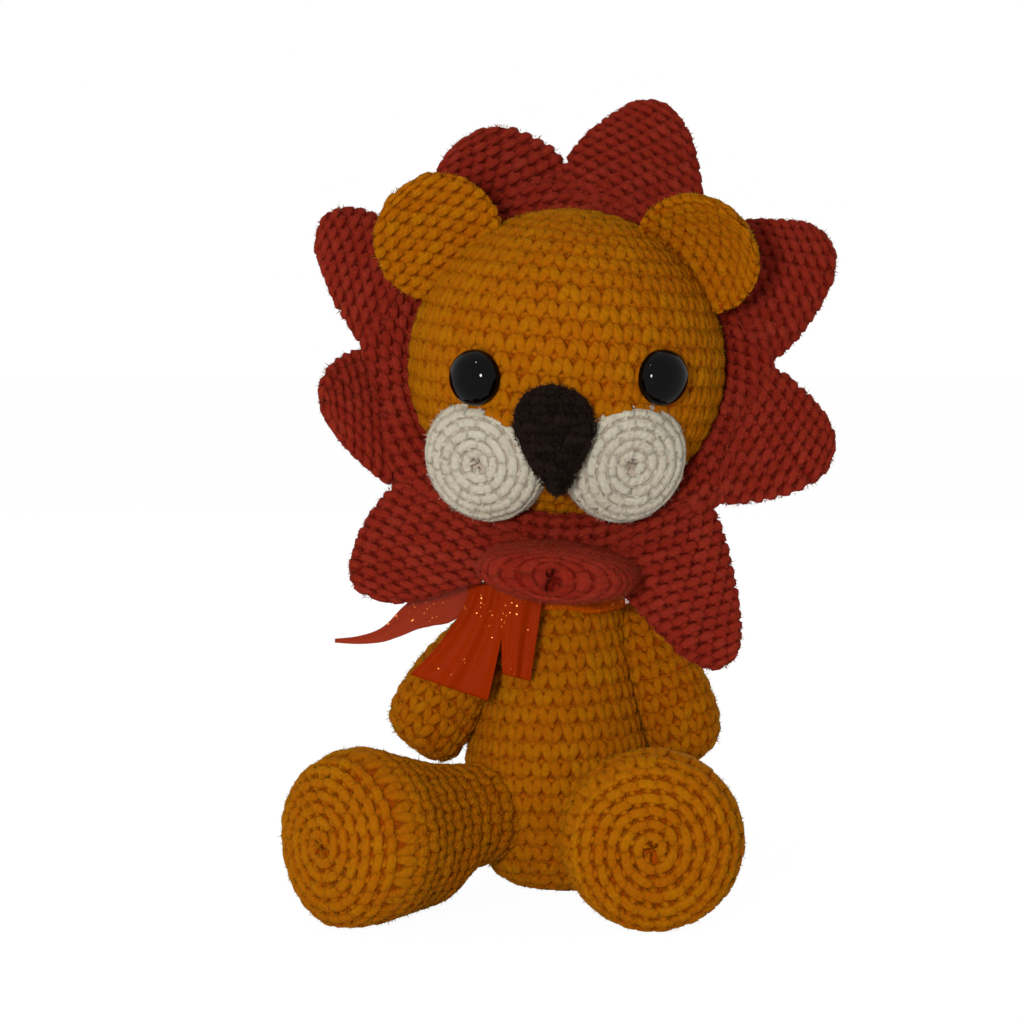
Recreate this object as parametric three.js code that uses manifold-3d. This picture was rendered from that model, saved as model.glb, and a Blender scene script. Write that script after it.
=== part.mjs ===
// A seated crocheted lion toy, in millimetres, +Z up.
// The lion faces -Y, so its own left side is +X.
// The origin is the middle of the flat base that the body sits on.

import * as THREE from "three";
import { mergeVertices } from "three/addons/utils/BufferGeometryUtils.js";
import Module from "manifold-3d";

const wasm = await Module();
wasm.setup();

// Fits that every piece shares
const gap = 0.3;
const overrun = 60;
const mergeDistance = 1e-4;
const fabricWall = 2.4;
const seatFlatDepth = 0.5;

// Body, a pear that narrows to the neck
const bodyRadius = 25;
const bodyHeight = 98.5;
const neckRadius = 15;

// Head, a ball that the neck's top is sunk into, a little left of and before the
// body's middle
const headRadius = 40.6;
const headSink = 3.6;
const headShiftX = 1;
const headShiftY = -2;
const headOpeningRadius = 9;

// Safety eyes with a post through the head and a washer inside
const eyeRadius = 7;
const eyeDome = 4.6;
const eyeRim = 0.9;
const eyePostRadius = 1.5;
const washerRadius = 6.5;
const washerThickness = 1;
const eyePostProud = 1;
const eyeXShare = 0.5567;
const eyeX = headRadius * eyeXShare;
const eyeRise = -1;

// Cheeks, two domed discs sewn below the eyes, and the nose over them; both follow
// the head's size
const cheekRadiusShare = 0.394;
const cheekSpacingShare = 0.85;
const noseWidthShare = 0.505;
const noseHeightShare = 0.677;
const cheekRadius = headRadius * cheekRadiusShare;
const cheekDome = 6.5;
const cheekDepth = 9.5;
const cheekWall = 1.8;
const cheekSpacing = headRadius * cheekSpacingShare;
const cheekUnderEye = 1.5;
const cheekDrop = cheekRadius + eyeRadius - cheekUnderEye;
const cheekSink = 1.6;
const cheekStandOff = headRadius - cheekSink;
const muzzleShiftX = -3.2;
const noseWidth = headRadius * noseWidthShare;
const noseHeight = headRadius * noseHeightShare;
const noseThickness = 12;
const noseOverCheeks = 5.3;
const noseDrop = cheekDrop - noseOverCheeks;
const noseProud = 0.9;
const noseStandOff = headRadius + noseProud;

// Ears, cupped discs let into the head's upper sides
const earRadius = 16.6;
const earThickness = 4;
const earCup = 6;
const leftEarProud = 8.2;
const rightEarProud = 6.4;
const leftEarReach = headRadius + leftEarProud;
const rightEarReach = headRadius + rightEarProud;
const earForward = 12;
const leftEarAngle = 41.5;
const rightEarAngle = 134;
const leftEarTurnShare = -0.45;
const rightEarTurnShare = 0.12;

// Mane, a ring round the face that carries nine flattened cones
const maneClear = 0.6;
const maneRingWidth = 12.4;
const maneInnerRadius = headRadius + maneClear;
const maneOuterRadius = maneInnerRadius + maneRingWidth;
const maneThickness = 6;
const maneTilt = 25;
const manePointThickness = 7;
const maneFoldDrop = 1.6;

// Arms, sewn to the upper sides of the body, below the neck's top; they leave a part
// of the body's height free above their roots and below their ends
const armFreeHeight = 59.8;
const armLength = bodyHeight - armFreeHeight;
const armRootRadius = 6.1;
const armRadius = 11;
const leftShoulderX = 19.9;
const rightShoulderX = 17.8;
const shoulderY = -3;
const shoulderDrop = 29.9;
const leftArmSplay = 22;
const rightArmSplay = 35;
const armForwardLean = 3;

// Legs, sewn to the lower front of the body, feet on the floor
const leftLegLength = 47;
const rightLegLength = 57.5;
const legRootRadius = 12.2;
const leftFootRadius = 22.4;
const rightFootRadius = 21.7;
const hipHeight = 21.3;
const leftHipX = 22.8;
const leftHipY = -12;
const rightHipX = 20;
const rightHipY = -12.5;
const leftLegYaw = -2;
const rightLegYaw = 44;
const limbOpeningRadius = 4.5;
const legRaise = 10;
const legLower = 20;
const legDents = 6;

// Tail behind, with a tuft at its end
const tailRadius = 3.6;
const tailRootRadius = 4.4;
const tailLength = 31;
const tailRootY = 21.5;
const tailRootHeight = 13;
const tailSideways = 11;
const tuftLength = 20;
const tuftRadius = 6.5;

// Ribbon of sheer cloth, tied round the neck, its knot at the lion's right
const ribbonThickness = 0.8;
const ribbonBandHeight = 7;
const ribbonDropShare = 0.5025;
const ribbonDrop = headRadius * ribbonDropShare;
const knotWidth = 19;
const knotHeight = 6.4;
const knotDepth = 7.5;
const knotTurn = 42;
const foldDepth = 1.6;
const wideEndDrop = 21;
const wideEndOutward = 8;
const wideEndWidth = 20;
const shortEndDrop = 17.5;
const shortEndWidth = 10.5;
const sideEndDrop = 10;
const sideEndOutward = 33;
const sideEndWidth = 11;

// How finely round forms are cut into faces
const bodySides = 18;
const headSides = 20;
const limbSides = 10;
const smallSides = 10;
const tubeSides = 8;
const bodyRows = 12;
const limbRows = 9;

const up = new THREE.Vector3(0, 0, 1);
const headCentre = new THREE.Vector3(headShiftX, headShiftY, bodyHeight + headRadius - headSink);
const shoulderHeight = bodyHeight - shoulderDrop;
const ribbonBandMiddle = bodyHeight - ribbonDrop;

const radians = THREE.MathUtils.degToRad;

// Materials, with the colours that the toy shows
function finish(color, roughness, metalness = 0) {
  return new THREE.MeshStandardMaterial({ color, roughness, metalness });
}
const yellowYarn = () => finish(0x9c5a08, 0.95);
const redYarn = () => finish(0x76231a, 0.95);
const creamYarn = () => finish(0xb6b09c, 0.95);
const brownYarn = () => finish(0x231815, 0.95);
const fibrefill = () => finish(0xe9e6df, 1);
const blackPlastic = () => finish(0x0c0b0b, 0.08);
const whitePlastic = () => finish(0xdedede, 0.5);
const organza = () => finish(0x9a3206, 0.35);

// A closed geometry as a solid that can be cut and joined
function toSolid(geometry) {
  const bare = geometry.clone();
  bare.deleteAttribute("normal");
  bare.deleteAttribute("uv");
  const merged = mergeVertices(bare, mergeDistance);
  const index = merged.index.array;
  const faces = [];
  for (let i = 0; i < index.length; i += 3) {
    const [a, b, c] = [index[i], index[i + 1], index[i + 2]];
    if (a !== b && b !== c && c !== a) faces.push(a, b, c);
  }
  return new wasm.Manifold(
    new wasm.Mesh({
      numProp: 3,
      vertProperties: merged.attributes.position.array,
      triVerts: new Uint32Array(faces),
    }),
  );
}

// The solid's largest single body, without crumbs that a cut left
function largest(solid) {
  const bodies = solid.decompose();
  return bodies.reduce((best, body) => (body.volume() > best.volume() ? body : best));
}

// A named mesh of a solid, held in a group whose origin is the group's own pivot
function addPiece(group, name, solid, material) {
  const mesh = solid.getMesh();
  const geometry = new THREE.BufferGeometry();
  geometry.setAttribute("position", new THREE.BufferAttribute(mesh.vertProperties, 3));
  geometry.setIndex(new THREE.BufferAttribute(mesh.triVerts, 1));
  geometry.translate(-group.position.x, -group.position.y, -group.position.z);
  geometry.computeVertexNormals();
  const piece = new THREE.Mesh(geometry, material);
  piece.name = name;
  group.add(piece);
}

// A smooth outline through points [radius, height], moved out by grow along its normal
function outline(points, steps, grow = 0) {
  const curve = new THREE.SplineCurve(points.map(([x, y]) => new THREE.Vector2(x, y)));
  const out = [];
  for (let i = 0; i <= steps; i++) {
    const t = i / steps;
    const place = curve.getPointAt(t);
    const along = curve.getTangentAt(t);
    const onAxis = (i === 0 || i === steps) && place.x === 0;
    const x = onAxis ? 0 : place.x + grow * along.y;
    const y = onAxis ? place.y + grow * (i === 0 ? -1 : 1) : place.y - grow * along.x;
    out.push(new THREE.Vector2(Math.max(x, 0), y));
  }
  return out;
}

// A turned form about +Z from an outline that climbs from the axis back to the axis
function turned(profile, sides) {
  return new THREE.LatheGeometry(profile, sides).rotateX(radians(90));
}

// A ball about a centre, its poles at top and bottom
function plainBall(radius, centre, sides) {
  const ball = new THREE.SphereGeometry(radius, sides, Math.round(sides / 2));
  return toSolid(ball.rotateX(radians(90)).translate(...centre));
}

// A ball whose flat faces all stay outside its radius, to cut clear sockets
function clearBall(radius, centre, sides) {
  return plainBall(radius / Math.cos(Math.PI / sides) ** 2, centre, sides);
}

// The head's ball, grown
function headBall(grow) {
  return plainBall(headRadius + grow, headCentre, headSides);
}

// Everything below the floor
function belowFloor() {
  const slab = new THREE.BoxGeometry(overrun * 4, overrun * 4, overrun);
  return toSolid(slab.translate(0, 0, -overrun / 2));
}

// Body: heights as shares of the body's height, radii as shares of its radius
const bodyShares = [
  [0.34, 0.0],
  [0.6, 0.02],
  [0.77, 0.058],
  [0.88, 0.11],
  [0.97, 0.195],
  [1.0, 0.29],
  [0.975, 0.38],
  [0.905, 0.46],
  [0.82, 0.56],
  [0.735, 0.655],
  [0.675, 0.735],
];
function bodyForm(grow) {
  const belly = bodyShares.map(([r, h]) => [r * bodyRadius, h * bodyHeight]);
  const neckShares = [0.8, 0.88, 1];
  const neckRoundShare = 1.04;
  const neck = neckShares.map((h, i) => [neckRadius * (i ? 1 : neckRoundShare), h * bodyHeight]);
  const base = [0, -seatFlatDepth];
  const profile = outline([base, ...belly, ...neck], bodyRows, grow);
  profile.push(new THREE.Vector2(0, profile[profile.length - 1].y));
  return toSolid(turned(profile, bodySides));
}

// A limb along +Z from its root ball's centre: lengths and radii as shares
function limbForm(limb, grow) {
  const { rootRadius, length, radius, shares } = limb;
  const rootSteps = 4;
  const root = [];
  for (let i = 0; i < rootSteps; i++) {
    const turn = (i / rootSteps) * radians(90);
    root.push([rootRadius * Math.sin(turn), -rootRadius * Math.cos(turn)]);
  }
  const rest = shares.map(([r, l]) => [r * radius, l * length]);
  const profile = outline([...root, ...rest], limbRows, grow);
  return turned(profile, limbSides);
}

// Turns a form built along +Z into a limb's own direction, from its pivot
function placeLimb(geometry, limb) {
  const turn = new THREE.Quaternion().setFromUnitVectors(up, limb.direction);
  const place = new THREE.Matrix4().compose(limb.pivot, turn, new THREE.Vector3(1, 1, 1));
  return toSolid(geometry.applyMatrix4(place));
}

// A solid turned about an axis through a pivot
function turnedAbout(solid, pivot, axis, degrees) {
  const matrix = new THREE.Matrix4()
    .makeTranslation(...pivot)
    .multiply(new THREE.Matrix4().makeRotationAxis(axis, radians(degrees)))
    .multiply(new THREE.Matrix4().makeTranslation(-pivot.x, -pivot.y, -pivot.z));
  return solid.transform(matrix.elements);
}

// What the body takes from a limb's side at rest and at each raised angle
function bodyDent(limb, grow) {
  const ball = plainBall(limb.rootRadius + gap - grow, limb.pivot, limbSides);
  const dents = limb.dentAngles.map((degrees) =>
    turnedAbout(bodyForm(grow), limb.pivot, limb.axis, -degrees),
  );
  return dents.reduce((all, dent) => all.add(dent)).subtract(ball);
}

// Cover and filling of one limb; the cover is open at its root, where it is sewn on
function buildLimb(name, limb) {
  const group = new THREE.Group();
  group.name = name;
  group.position.copy(limb.pivot);
  const wallGrow = gap + fabricWall;
  const outer = placeLimb(limbForm(limb, 0), limb).subtract(bodyDent(limb, gap));
  const inner = placeLimb(limbForm(limb, -fabricWall), limb)
    .subtract(bodyDent(limb, wallGrow))
    .subtract(fabricFloor(fabricWall));
  const opening = new THREE.CylinderGeometry(
    limbOpeningRadius,
    limbOpeningRadius,
    limb.rootRadius,
    smallSides,
  );
  opening.rotateX(radians(90)).translate(0, 0, -limb.rootRadius);
  const cover = outer.subtract(largest(inner)).subtract(placeLimb(opening, limb));
  const fill = placeLimb(limbForm(limb, -wallGrow), limb)
    .subtract(bodyDent(limb, wallGrow + gap))
    .subtract(fabricFloor(wallGrow));
  addPiece(group, name + "_cover", largest(cover.subtract(belowFloor())), yellowYarn());
  addPiece(group, name + "_stuffing", largest(fill), fibrefill());
  return group;
}

// The floor raised by a wall, which keeps a flat bottom as thick as the rest
function fabricFloor(rise) {
  const slab = new THREE.BoxGeometry(overrun * 4, overrun * 4, overrun);
  return toSolid(slab.translate(0, 0, rise - overrun / 2));
}

const armShares = [
  [0.66, 0.0],
  [0.8, 0.16],
  [0.94, 0.36],
  [1.0, 0.58],
  [0.99, 0.77],
  [0.88, 0.91],
  [0.55, 0.985],
  [0, 1.0],
];
const legShares = [
  [0.584, 0.0],
  [0.61, 0.14],
  [0.68, 0.32],
  [0.83, 0.52],
  [0.98, 0.68],
  [1.0, 0.77],
  [0.93, 0.88],
  [0.76, 0.955],
  [0.42, 0.99],
  [0, 1.0],
];

function arm(side, shoulderX, splay) {
  const lean = radians(armForwardLean);
  const direction = new THREE.Vector3(
    side * Math.sin(radians(splay)),
    -Math.sin(lean),
    -Math.cos(radians(splay)) * Math.cos(lean),
  ).normalize();
  return {
    direction,
    pivot: new THREE.Vector3(side * shoulderX, shoulderY, shoulderHeight),
    axis: new THREE.Vector3(0, -side, 0),
    rootRadius: armRootRadius,
    radius: armRadius,
    length: armLength,
    shares: armShares,
    dentAngles: [0],
  };
}

function leg(side, x, y, yaw, length, radius) {
  const turn = radians(yaw);
  return {
    direction: new THREE.Vector3(side * Math.sin(turn), -Math.cos(turn), 0),
    pivot: new THREE.Vector3(side * x, y, hipHeight),
    axis: new THREE.Vector3(-Math.cos(turn), -side * Math.sin(turn), 0),
    rootRadius: legRootRadius,
    radius,
    length,
    shares: legShares,
    dentAngles: Array.from({ length: legDents + 1 }, (_, i) =>
      THREE.MathUtils.lerp(-legLower, legRaise, i / legDents),
    ),
  };
}

const limbs = {
  left_arm: arm(1, leftShoulderX, leftArmSplay),
  right_arm: arm(-1, rightShoulderX, rightArmSplay),
  left_leg: leg(1, leftHipX, leftHipY, leftLegYaw, leftLegLength, leftFootRadius),
  right_leg: leg(-1, rightHipX, rightHipY, rightLegYaw, rightLegLength, rightFootRadius),
};
const tailPivot = new THREE.Vector3(0, tailRootY, tailRootHeight);

// Body: cover open at the neck, filling inside, sockets for head, limbs and tail
function buildBody() {
  const sockets = Object.values(limbs).map((limb) => [limb.rootRadius, limb.pivot]);
  sockets.push([tailRootRadius, tailPivot]);
  const group = new THREE.Group();
  group.name = "torso";
  const cutAll = (solid, extra) => {
    const ends = solid.subtract(headBall(gap + extra));
    return sockets.reduce(
      (rest, [radius, pivot]) => rest.subtract(clearBall(radius + gap + extra, pivot, limbSides)),
      ends,
    );
  };
  const inner = cutAll(bodyForm(-fabricWall), fabricWall).subtract(fabricFloor(fabricWall));
  const mouth = new THREE.CylinderGeometry(
    neckRadius - fabricWall,
    neckRadius - fabricWall,
    bodyHeight - ribbonBandMiddle,
    bodySides,
  );
  mouth.rotateX(radians(90)).translate(0, 0, bodyHeight);
  const cover = cutAll(bodyForm(0), 0).subtract(belowFloor());
  const wallGap = fabricWall + gap;
  const fill = cutAll(bodyForm(-wallGap), wallGap).subtract(fabricFloor(wallGap));
  addPiece(group, "body_cover", largest(cover.subtract(inner).subtract(toSolid(mouth))), yellowYarn());
  addPiece(group, "body_stuffing", largest(fill), fibrefill());
  return group;
}

// Eye on the head's surface: a frame with +Z along the surface's outward normal
function eyeFrame(side) {
  const out = new THREE.Vector3(side * eyeX, 0, eyeRise);
  out.y = -Math.sqrt(headRadius ** 2 - out.lengthSq());
  const normal = out.clone().normalize();
  const turn = new THREE.Quaternion().setFromUnitVectors(up, normal);
  return new THREE.Matrix4().compose(headCentre, turn, new THREE.Vector3(1, 1, 1));
}

function ring2D(points) {
  return points.map(([x, y]) => new THREE.Vector2(x, y));
}

const headInside = (headRadius - fabricWall) * Math.cos(Math.PI / headSides) ** 2;
const washerTop = Math.sqrt(headInside ** 2 - washerRadius ** 2) - gap;
const washerBottom = washerTop - washerThickness;
const postBottom = washerBottom - eyePostProud;

function eyeForm() {
  const base = headRadius + gap;
  const domeSteps = 6;
  const dome = [];
  for (let i = 0; i <= domeSteps; i++) {
    const turn = (i / domeSteps) * radians(90);
    dome.push([eyeRadius * Math.cos(turn), base + eyeRim + eyeDome * Math.sin(turn)]);
  }
  dome[domeSteps][0] = 0;
  const profile = [[0, postBottom], [eyePostRadius, postBottom], [eyePostRadius, base]];
  return turned(ring2D([...profile, [eyeRadius, base], ...dome]), limbSides);
}

function washerForm(grow) {
  const hole = eyePostRadius + gap - grow;
  const corners = [
    [hole, washerBottom - grow],
    [washerRadius + grow, washerBottom - grow],
    [washerRadius + grow, washerTop + grow],
    [hole, washerTop + grow],
    [hole, washerBottom - grow],
  ];
  return turned(ring2D(corners), smallSides);
}

function postForm(radius, reach) {
  const bottom = postBottom - gap;
  const corners = [[0, bottom], [radius, bottom], [radius, reach], [0, reach]];
  return turned(ring2D(corners), smallSides);
}

// A cheek: a shallow dome that runs back into the head, with +Z forward
function cheekFrame(side) {
  const x = muzzleShiftX + (side * cheekSpacing) / 2;
  const outwardShare = 0.42;
  const downShare = 0.22;
  const normal = new THREE.Vector3(side * outwardShare, -1, -downShare).normalize();
  const turn = new THREE.Quaternion().setFromUnitVectors(up, normal);
  const place = new THREE.Vector3(x, 0, -cheekDrop);
  place.y = -Math.sqrt(Math.max(cheekStandOff ** 2 - place.lengthSq(), 0));
  return new THREE.Matrix4().compose(place.add(headCentre), turn, new THREE.Vector3(1, 1, 1));
}

const cheekShares = [
  [1.0, 0.0],
  [0.97, 0.4],
  [0.82, 0.8],
  [0.55, 1.0],
  [0.25, 0.95],
  [0, 0.85],
];
function cheekForm(side, grow) {
  const dome = cheekShares.map(([r, h]) => [
    r ? r * cheekRadius + grow : 0,
    h * cheekDome + (h ? grow : 0),
  ]);
  const back = [[0, -cheekDepth], [cheekRadius + grow, -cheekDepth]];
  const form = turned(ring2D([...back, ...dome]), limbSides);
  return toSolid(form.applyMatrix4(cheekFrame(side)));
}

// A flat petal: an outline of half widths along its length, its two faces bowed out.
// across and along are its width and length vectors, through its thickness vector.
function petal(shares, sides, frame) {
  const { root, across, along, through } = frame;
  const form = new THREE.LatheGeometry(ring2D(shares), sides);
  const spot = form.attributes.position;
  const bowShare = 0.6;
  for (let i = 0; i < spot.count; i++) {
    const [x, y, z] = [spot.getX(i), spot.getY(i), spot.getZ(i)];
    const radius = Math.hypot(x, z);
    const flat = radius > mergeDistance ? z / radius ** bowShare : 0;
    const place = root.clone();
    place.addScaledVector(across, x).addScaledVector(along, y).addScaledVector(through, flat);
    spot.setXYZ(i, place.x, place.y, place.z);
  }
  return form;
}

// A petal as a solid, turned the right way out whichever way its vectors run
function petalSolid(shares, sides, frame) {
  const form = petal(shares, sides, frame);
  const turns = new THREE.Vector3().crossVectors(frame.across, frame.along).dot(frame.through);
  const faces = form.index.array;
  if (turns < 0) {
    for (let i = 0; i < faces.length; i += 3) {
      [faces[i + 1], faces[i + 2]] = [faces[i + 2], faces[i + 1]];
    }
  }
  return toSolid(form);
}

// Nose: a shield, round at the top and pointed below
const noseShares = [
  [0, 0],
  [0.28, 0.07],
  [0.55, 0.22],
  [0.82, 0.42],
  [1.0, 0.64],
  [0.94, 0.82],
  [0.62, 0.95],
  [0, 1],
];
function buildNose() {
  const root = new THREE.Vector3(muzzleShiftX, -noseStandOff, -noseDrop - noseHeight / 2);
  return petalSolid(noseShares, limbSides, {
    root: root.add(headCentre),
    across: new THREE.Vector3(noseWidth / 2, 0, 0),
    along: new THREE.Vector3(0, 0, noseHeight),
    through: new THREE.Vector3(0, noseThickness / 2, 0),
  });
}

// Ear: a dish let into the head, hollow side forward
function earForm(degrees, earReach, sideTurnShare) {
  const steps = 4;
  const dish = (radius, depth, lift) => {
    const row = [];
    for (let i = 0; i <= steps; i++) {
      const share = i / steps;
      row.push([radius * share, lift + depth * share ** 2]);
    }
    return row;
  };
  const back = dish(earRadius, earCup, 0);
  const rim = [[earRadius + earThickness / 4, earCup + earThickness / 2]];
  const front = dish(earRadius, earCup, earThickness).reverse();
  const form = turned(ring2D([...back, ...rim, ...front]), smallSides * 2);
  const angle = radians(degrees);
  const centre = new THREE.Vector3(
    earReach * Math.cos(angle),
    -earForward + earCup,
    earReach * Math.sin(angle),
  ).add(headCentre);
  const facing = new THREE.Vector3(sideTurnShare, -1, -Math.abs(sideTurnShare)).normalize();
  const turn = new THREE.Quaternion().setFromUnitVectors(up, facing);
  form.applyMatrix4(new THREE.Matrix4().compose(centre, turn, new THREE.Vector3(1, 1, 1)));
  return toSolid(form);
}

// The mane's plane leans back at the top and comes forward under the chin
const maneAcross = new THREE.Vector3(1, 0, 0);
const maneUp = new THREE.Vector3(0, Math.sin(radians(maneTilt)), Math.cos(radians(maneTilt)));
const maneFront = new THREE.Vector3().crossVectors(maneAcross, maneUp);

function manePlace(radius, degrees, forward) {
  const angle = radians(degrees);
  return headCentre
    .clone()
    .addScaledVector(maneAcross, radius * Math.cos(angle))
    .addScaledVector(maneUp, radius * Math.sin(angle))
    .addScaledVector(maneFront, forward);
}

function maneRing(grow) {
  const middle = (maneInnerRadius + maneOuterRadius) / 2;
  const halfWidth = (maneOuterRadius - maneInnerRadius) / 2 + grow;
  const halfThick = maneThickness / 2 + grow;
  const profile = [];
  const squareShare = 0.7;
  for (let i = 0; i <= tubeSides; i++) {
    const turn = (i / tubeSides) * radians(360);
    const soften = (value) => Math.sign(value) * Math.abs(value) ** squareShare;
    profile.push([middle + halfWidth * soften(Math.cos(turn)), halfThick * soften(Math.sin(turn))]);
  }
  profile[tubeSides] = profile[0];
  const form = new THREE.LatheGeometry(ring2D(profile), headSides + smallSides);
  const basis = new THREE.Matrix4().makeBasis(maneAcross, maneFront, maneUp.clone().negate());
  form.applyMatrix4(basis.setPosition(headCentre));
  return toSolid(form);
}

// The nine points. Each row: the angle where it starts on the ring, then its tip's
// angle, reach, lean to the front, thickness and its start's rise off the ring; lengths
// are shares of the ring's outer size.
const manePointShares = [
  [134.5, 111.5, 1.27, 0.15, 1, 1],
  [90, 70.4, 1.5, 0, 1, 1.13],
  [48, 26.8, 1.46, 0, 1, 1],
  [1, -20.8, 1.35, 0, 1, 1],
  [-45, -63.8, 1.66, -0.055, 1, 1],
  [-77, -94.2, 1.18, 0.46, 1.7, 1],
  [-106, -129.4, 1.495, 0, 1, 1],
  [-144.5, -168, 1.185, 0.19, 1, 1.04],
  [-186, -212.8, 1.43, 0, 1, 1],
];
const manePetalShares = [
  [0, -0.12],
  [0.95, -0.12],
  [0.985, 0],
  [0.91, 0.25],
  [0.76, 0.5],
  [0.57, 0.74],
  [0.42, 0.88],
  [0.22, 0.97],
  [0, 1],
];
// The sixth point, under the chin, is folded forward and so is wide and blunt
const maneFoldShares = [
  [0, -0.12],
  [1.14, -0.12],
  [1.2, 0],
  [1.2, 0.3],
  [1.16, 0.55],
  [1.04, 0.76],
  [0.79, 0.91],
  [0.43, 0.98],
  [0, 1],
];

// What lies on one side of a plane through the mane's axis
function maneSector(solid, degrees, side) {
  const normal = manePlace(side, degrees + 90, 0).sub(headCentre);
  return solid.trimByPlane(normal.toArray(), normal.dot(headCentre) + gap / 2);
}

function manePoint(index) {
  const [start, tipAngle, reach, lean, thick, rise] = manePointShares[index];
  const next = (index + 1) % manePointShares.length;
  const nextRise = manePointShares[next][5];
  const end = manePointShares[next][0] - (next ? 0 : 360);
  const first = manePlace(maneOuterRadius * rise, start, 0);
  const last = manePlace(maneOuterRadius * nextRise, end, 0);
  const tip = manePlace(maneOuterRadius * reach, tipAngle, maneOuterRadius * lean);
  const folded = thick > 1;
  const root = first.clone().add(last).multiplyScalar(0.5);
  if (folded) root.z -= maneFoldDrop;
  const chord = last.sub(first);
  const across = chord.clone().setLength(chord.length() / 2 - gap);
  const along = tip.sub(root);
  const through = new THREE.Vector3().crossVectors(across, along);
  through.setLength((manePointThickness * thick) / 2);
  const foot = ((Math.max(rise, nextRise) - 1) * maneOuterRadius) / along.length();
  const table = folded ? maneFoldShares : manePetalShares;
  const shares = table.map(([x, y]) => [x, y < 0 ? y - foot : y]);
  const form = petalSolid(shares, smallSides, { root, across, along, through });
  return maneSector(maneSector(form, start, -1), end, 1);
}

// Head: cover with holes for neck and eye posts, filling, eyes, face, ears and mane
function buildHead() {
  const group = new THREE.Group();
  group.name = "head";
  group.position.copy(headCentre);
  const neckHole = new THREE.CylinderGeometry(
    headOpeningRadius,
    headOpeningRadius,
    headRadius,
    smallSides,
  );
  neckHole.rotateX(radians(90)).translate(headCentre.x, headCentre.y, headCentre.z - headRadius);
  let cover = headBall(0).subtract(headBall(-fabricWall)).subtract(toSolid(neckHole));
  let fill = headBall(-fabricWall - gap);
  for (const [name, side] of [["left", 1], ["right", -1]]) {
    const frame = eyeFrame(side);
    const hole = postForm(eyePostRadius + gap, headRadius + overrun);
    const pocket = postForm(washerRadius + gap, washerTop + gap);
    cover = cover.subtract(toSolid(hole.applyMatrix4(frame)));
    fill = fill.subtract(toSolid(pocket.applyMatrix4(frame)));
    fill = fill.subtract(toSolid(postForm(eyePostRadius + gap, headRadius).applyMatrix4(frame)));
    addPiece(group, name + "_eye", toSolid(eyeForm().applyMatrix4(frame)), blackPlastic());
    addPiece(group, name + "_eye_washer", toSolid(washerForm(0).applyMatrix4(frame)), whitePlastic());
  }
  addPiece(group, "head_cover", cover, yellowYarn());
  addPiece(group, "head_stuffing", largest(fill), fibrefill());

  const clearHead = headBall(gap);
  const clearRing = maneRing(gap);
  for (const [name, side] of [["left", 1], ["right", -1]]) {
    const outer = cheekForm(side, 0).subtract(clearHead).subtract(clearRing);
    const inside = cheekForm(side, -cheekWall);
    const pad = cheekForm(side, -cheekWall - gap).subtract(clearHead).subtract(clearRing);
    addPiece(group, name + "_cheek", largest(outer.subtract(inside)), creamYarn());
    addPiece(group, name + "_cheek_stuffing", largest(pad), fibrefill());
  }
  const cheeks = cheekForm(1, gap).add(cheekForm(-1, gap));
  addPiece(group, "nose", largest(buildNose().subtract(cheeks).subtract(clearHead)), brownYarn());

  const leftEar = earForm(leftEarAngle, leftEarReach, leftEarTurnShare);
  const rightEar = earForm(rightEarAngle, rightEarReach, rightEarTurnShare);
  addPiece(group, "left_ear", largest(leftEar.subtract(clearHead)), yellowYarn());
  addPiece(group, "right_ear", largest(rightEar.subtract(clearHead)), yellowYarn());

  addPiece(group, "mane_ring", maneRing(0).subtract(clearHead), redYarn());
  manePointShares.forEach((row, index) => {
    const point = manePoint(index).subtract(clearRing).subtract(clearHead).subtract(cheeks);
    addPiece(group, "mane_point_" + (index + 1), largest(point), redYarn());
  });
  return group;
}

// Tail: a tube from a root ball in the body's back, with a tuft past its end
function buildTail() {
  const group = new THREE.Group();
  group.name = "tail_group";
  group.position.copy(tailPivot);
  const sideShares = [0, 0.1, 0.45, 1];
  const fallShares = [0, 0.35, 0.7, 0.75];
  const floorClear = tuftRadius + gap;
  const path = new THREE.CatmullRomCurve3(
    sideShares.map((share, i) => {
      const along = i / (sideShares.length - 1);
      const fall = (tailRootHeight - floorClear) * fallShares[i];
      return new THREE.Vector3(-tailSideways * share, tailLength * along, -fall).add(tailPivot);
    }),
  );
  const section = new THREE.Shape().absarc(0, 0, tailRadius, 0, radians(360));
  const tube = new THREE.ExtrudeGeometry(section, {
    extrudePath: path,
    steps: tubeSides,
    curveSegments: tubeSides / 2,
  });
  const ball = new THREE.SphereGeometry(tailRootRadius, smallSides, smallSides / 2);
  const root = toSolid(ball.translate(...tailPivot));
  const clearBody = bodyForm(gap).subtract(clearBall(tailRootRadius, tailPivot, limbSides));
  const tail = toSolid(tube).subtract(clearBody).add(root);
  addPiece(group, "tail", largest(tail), yellowYarn());

  const tuftShares = [
    [0.35, 0],
    [0.8, 0.14],
    [1, 0.4],
    [0.8, 0.68],
    [0.4, 0.9],
    [0, 1],
  ];
  const end = path.getPoint(1);
  const onward = path.getTangent(1);
  onward.z = 0;
  onward.normalize();
  const tuft = turned(
    ring2D([[0, 0], ...tuftShares.map(([r, l]) => [r * tuftRadius, l * tuftLength])]),
    smallSides,
  );
  const turn = new THREE.Quaternion().setFromUnitVectors(up, onward);
  const start = end.clone().addScaledVector(onward, -tailRadius);
  tuft.applyMatrix4(new THREE.Matrix4().compose(start, turn, new THREE.Vector3(1, 1, 1)));
  const sleeve = new THREE.Shape().absarc(0, 0, tailRadius + gap, 0, radians(360));
  const hollow = new THREE.ExtrudeGeometry(sleeve, {
    extrudePath: path,
    steps: tubeSides,
    curveSegments: tubeSides / 2,
  });
  addPiece(group, "tail_tuft", largest(toSolid(tuft).subtract(toSolid(hollow))), redYarn());
  return group;
}

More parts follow.
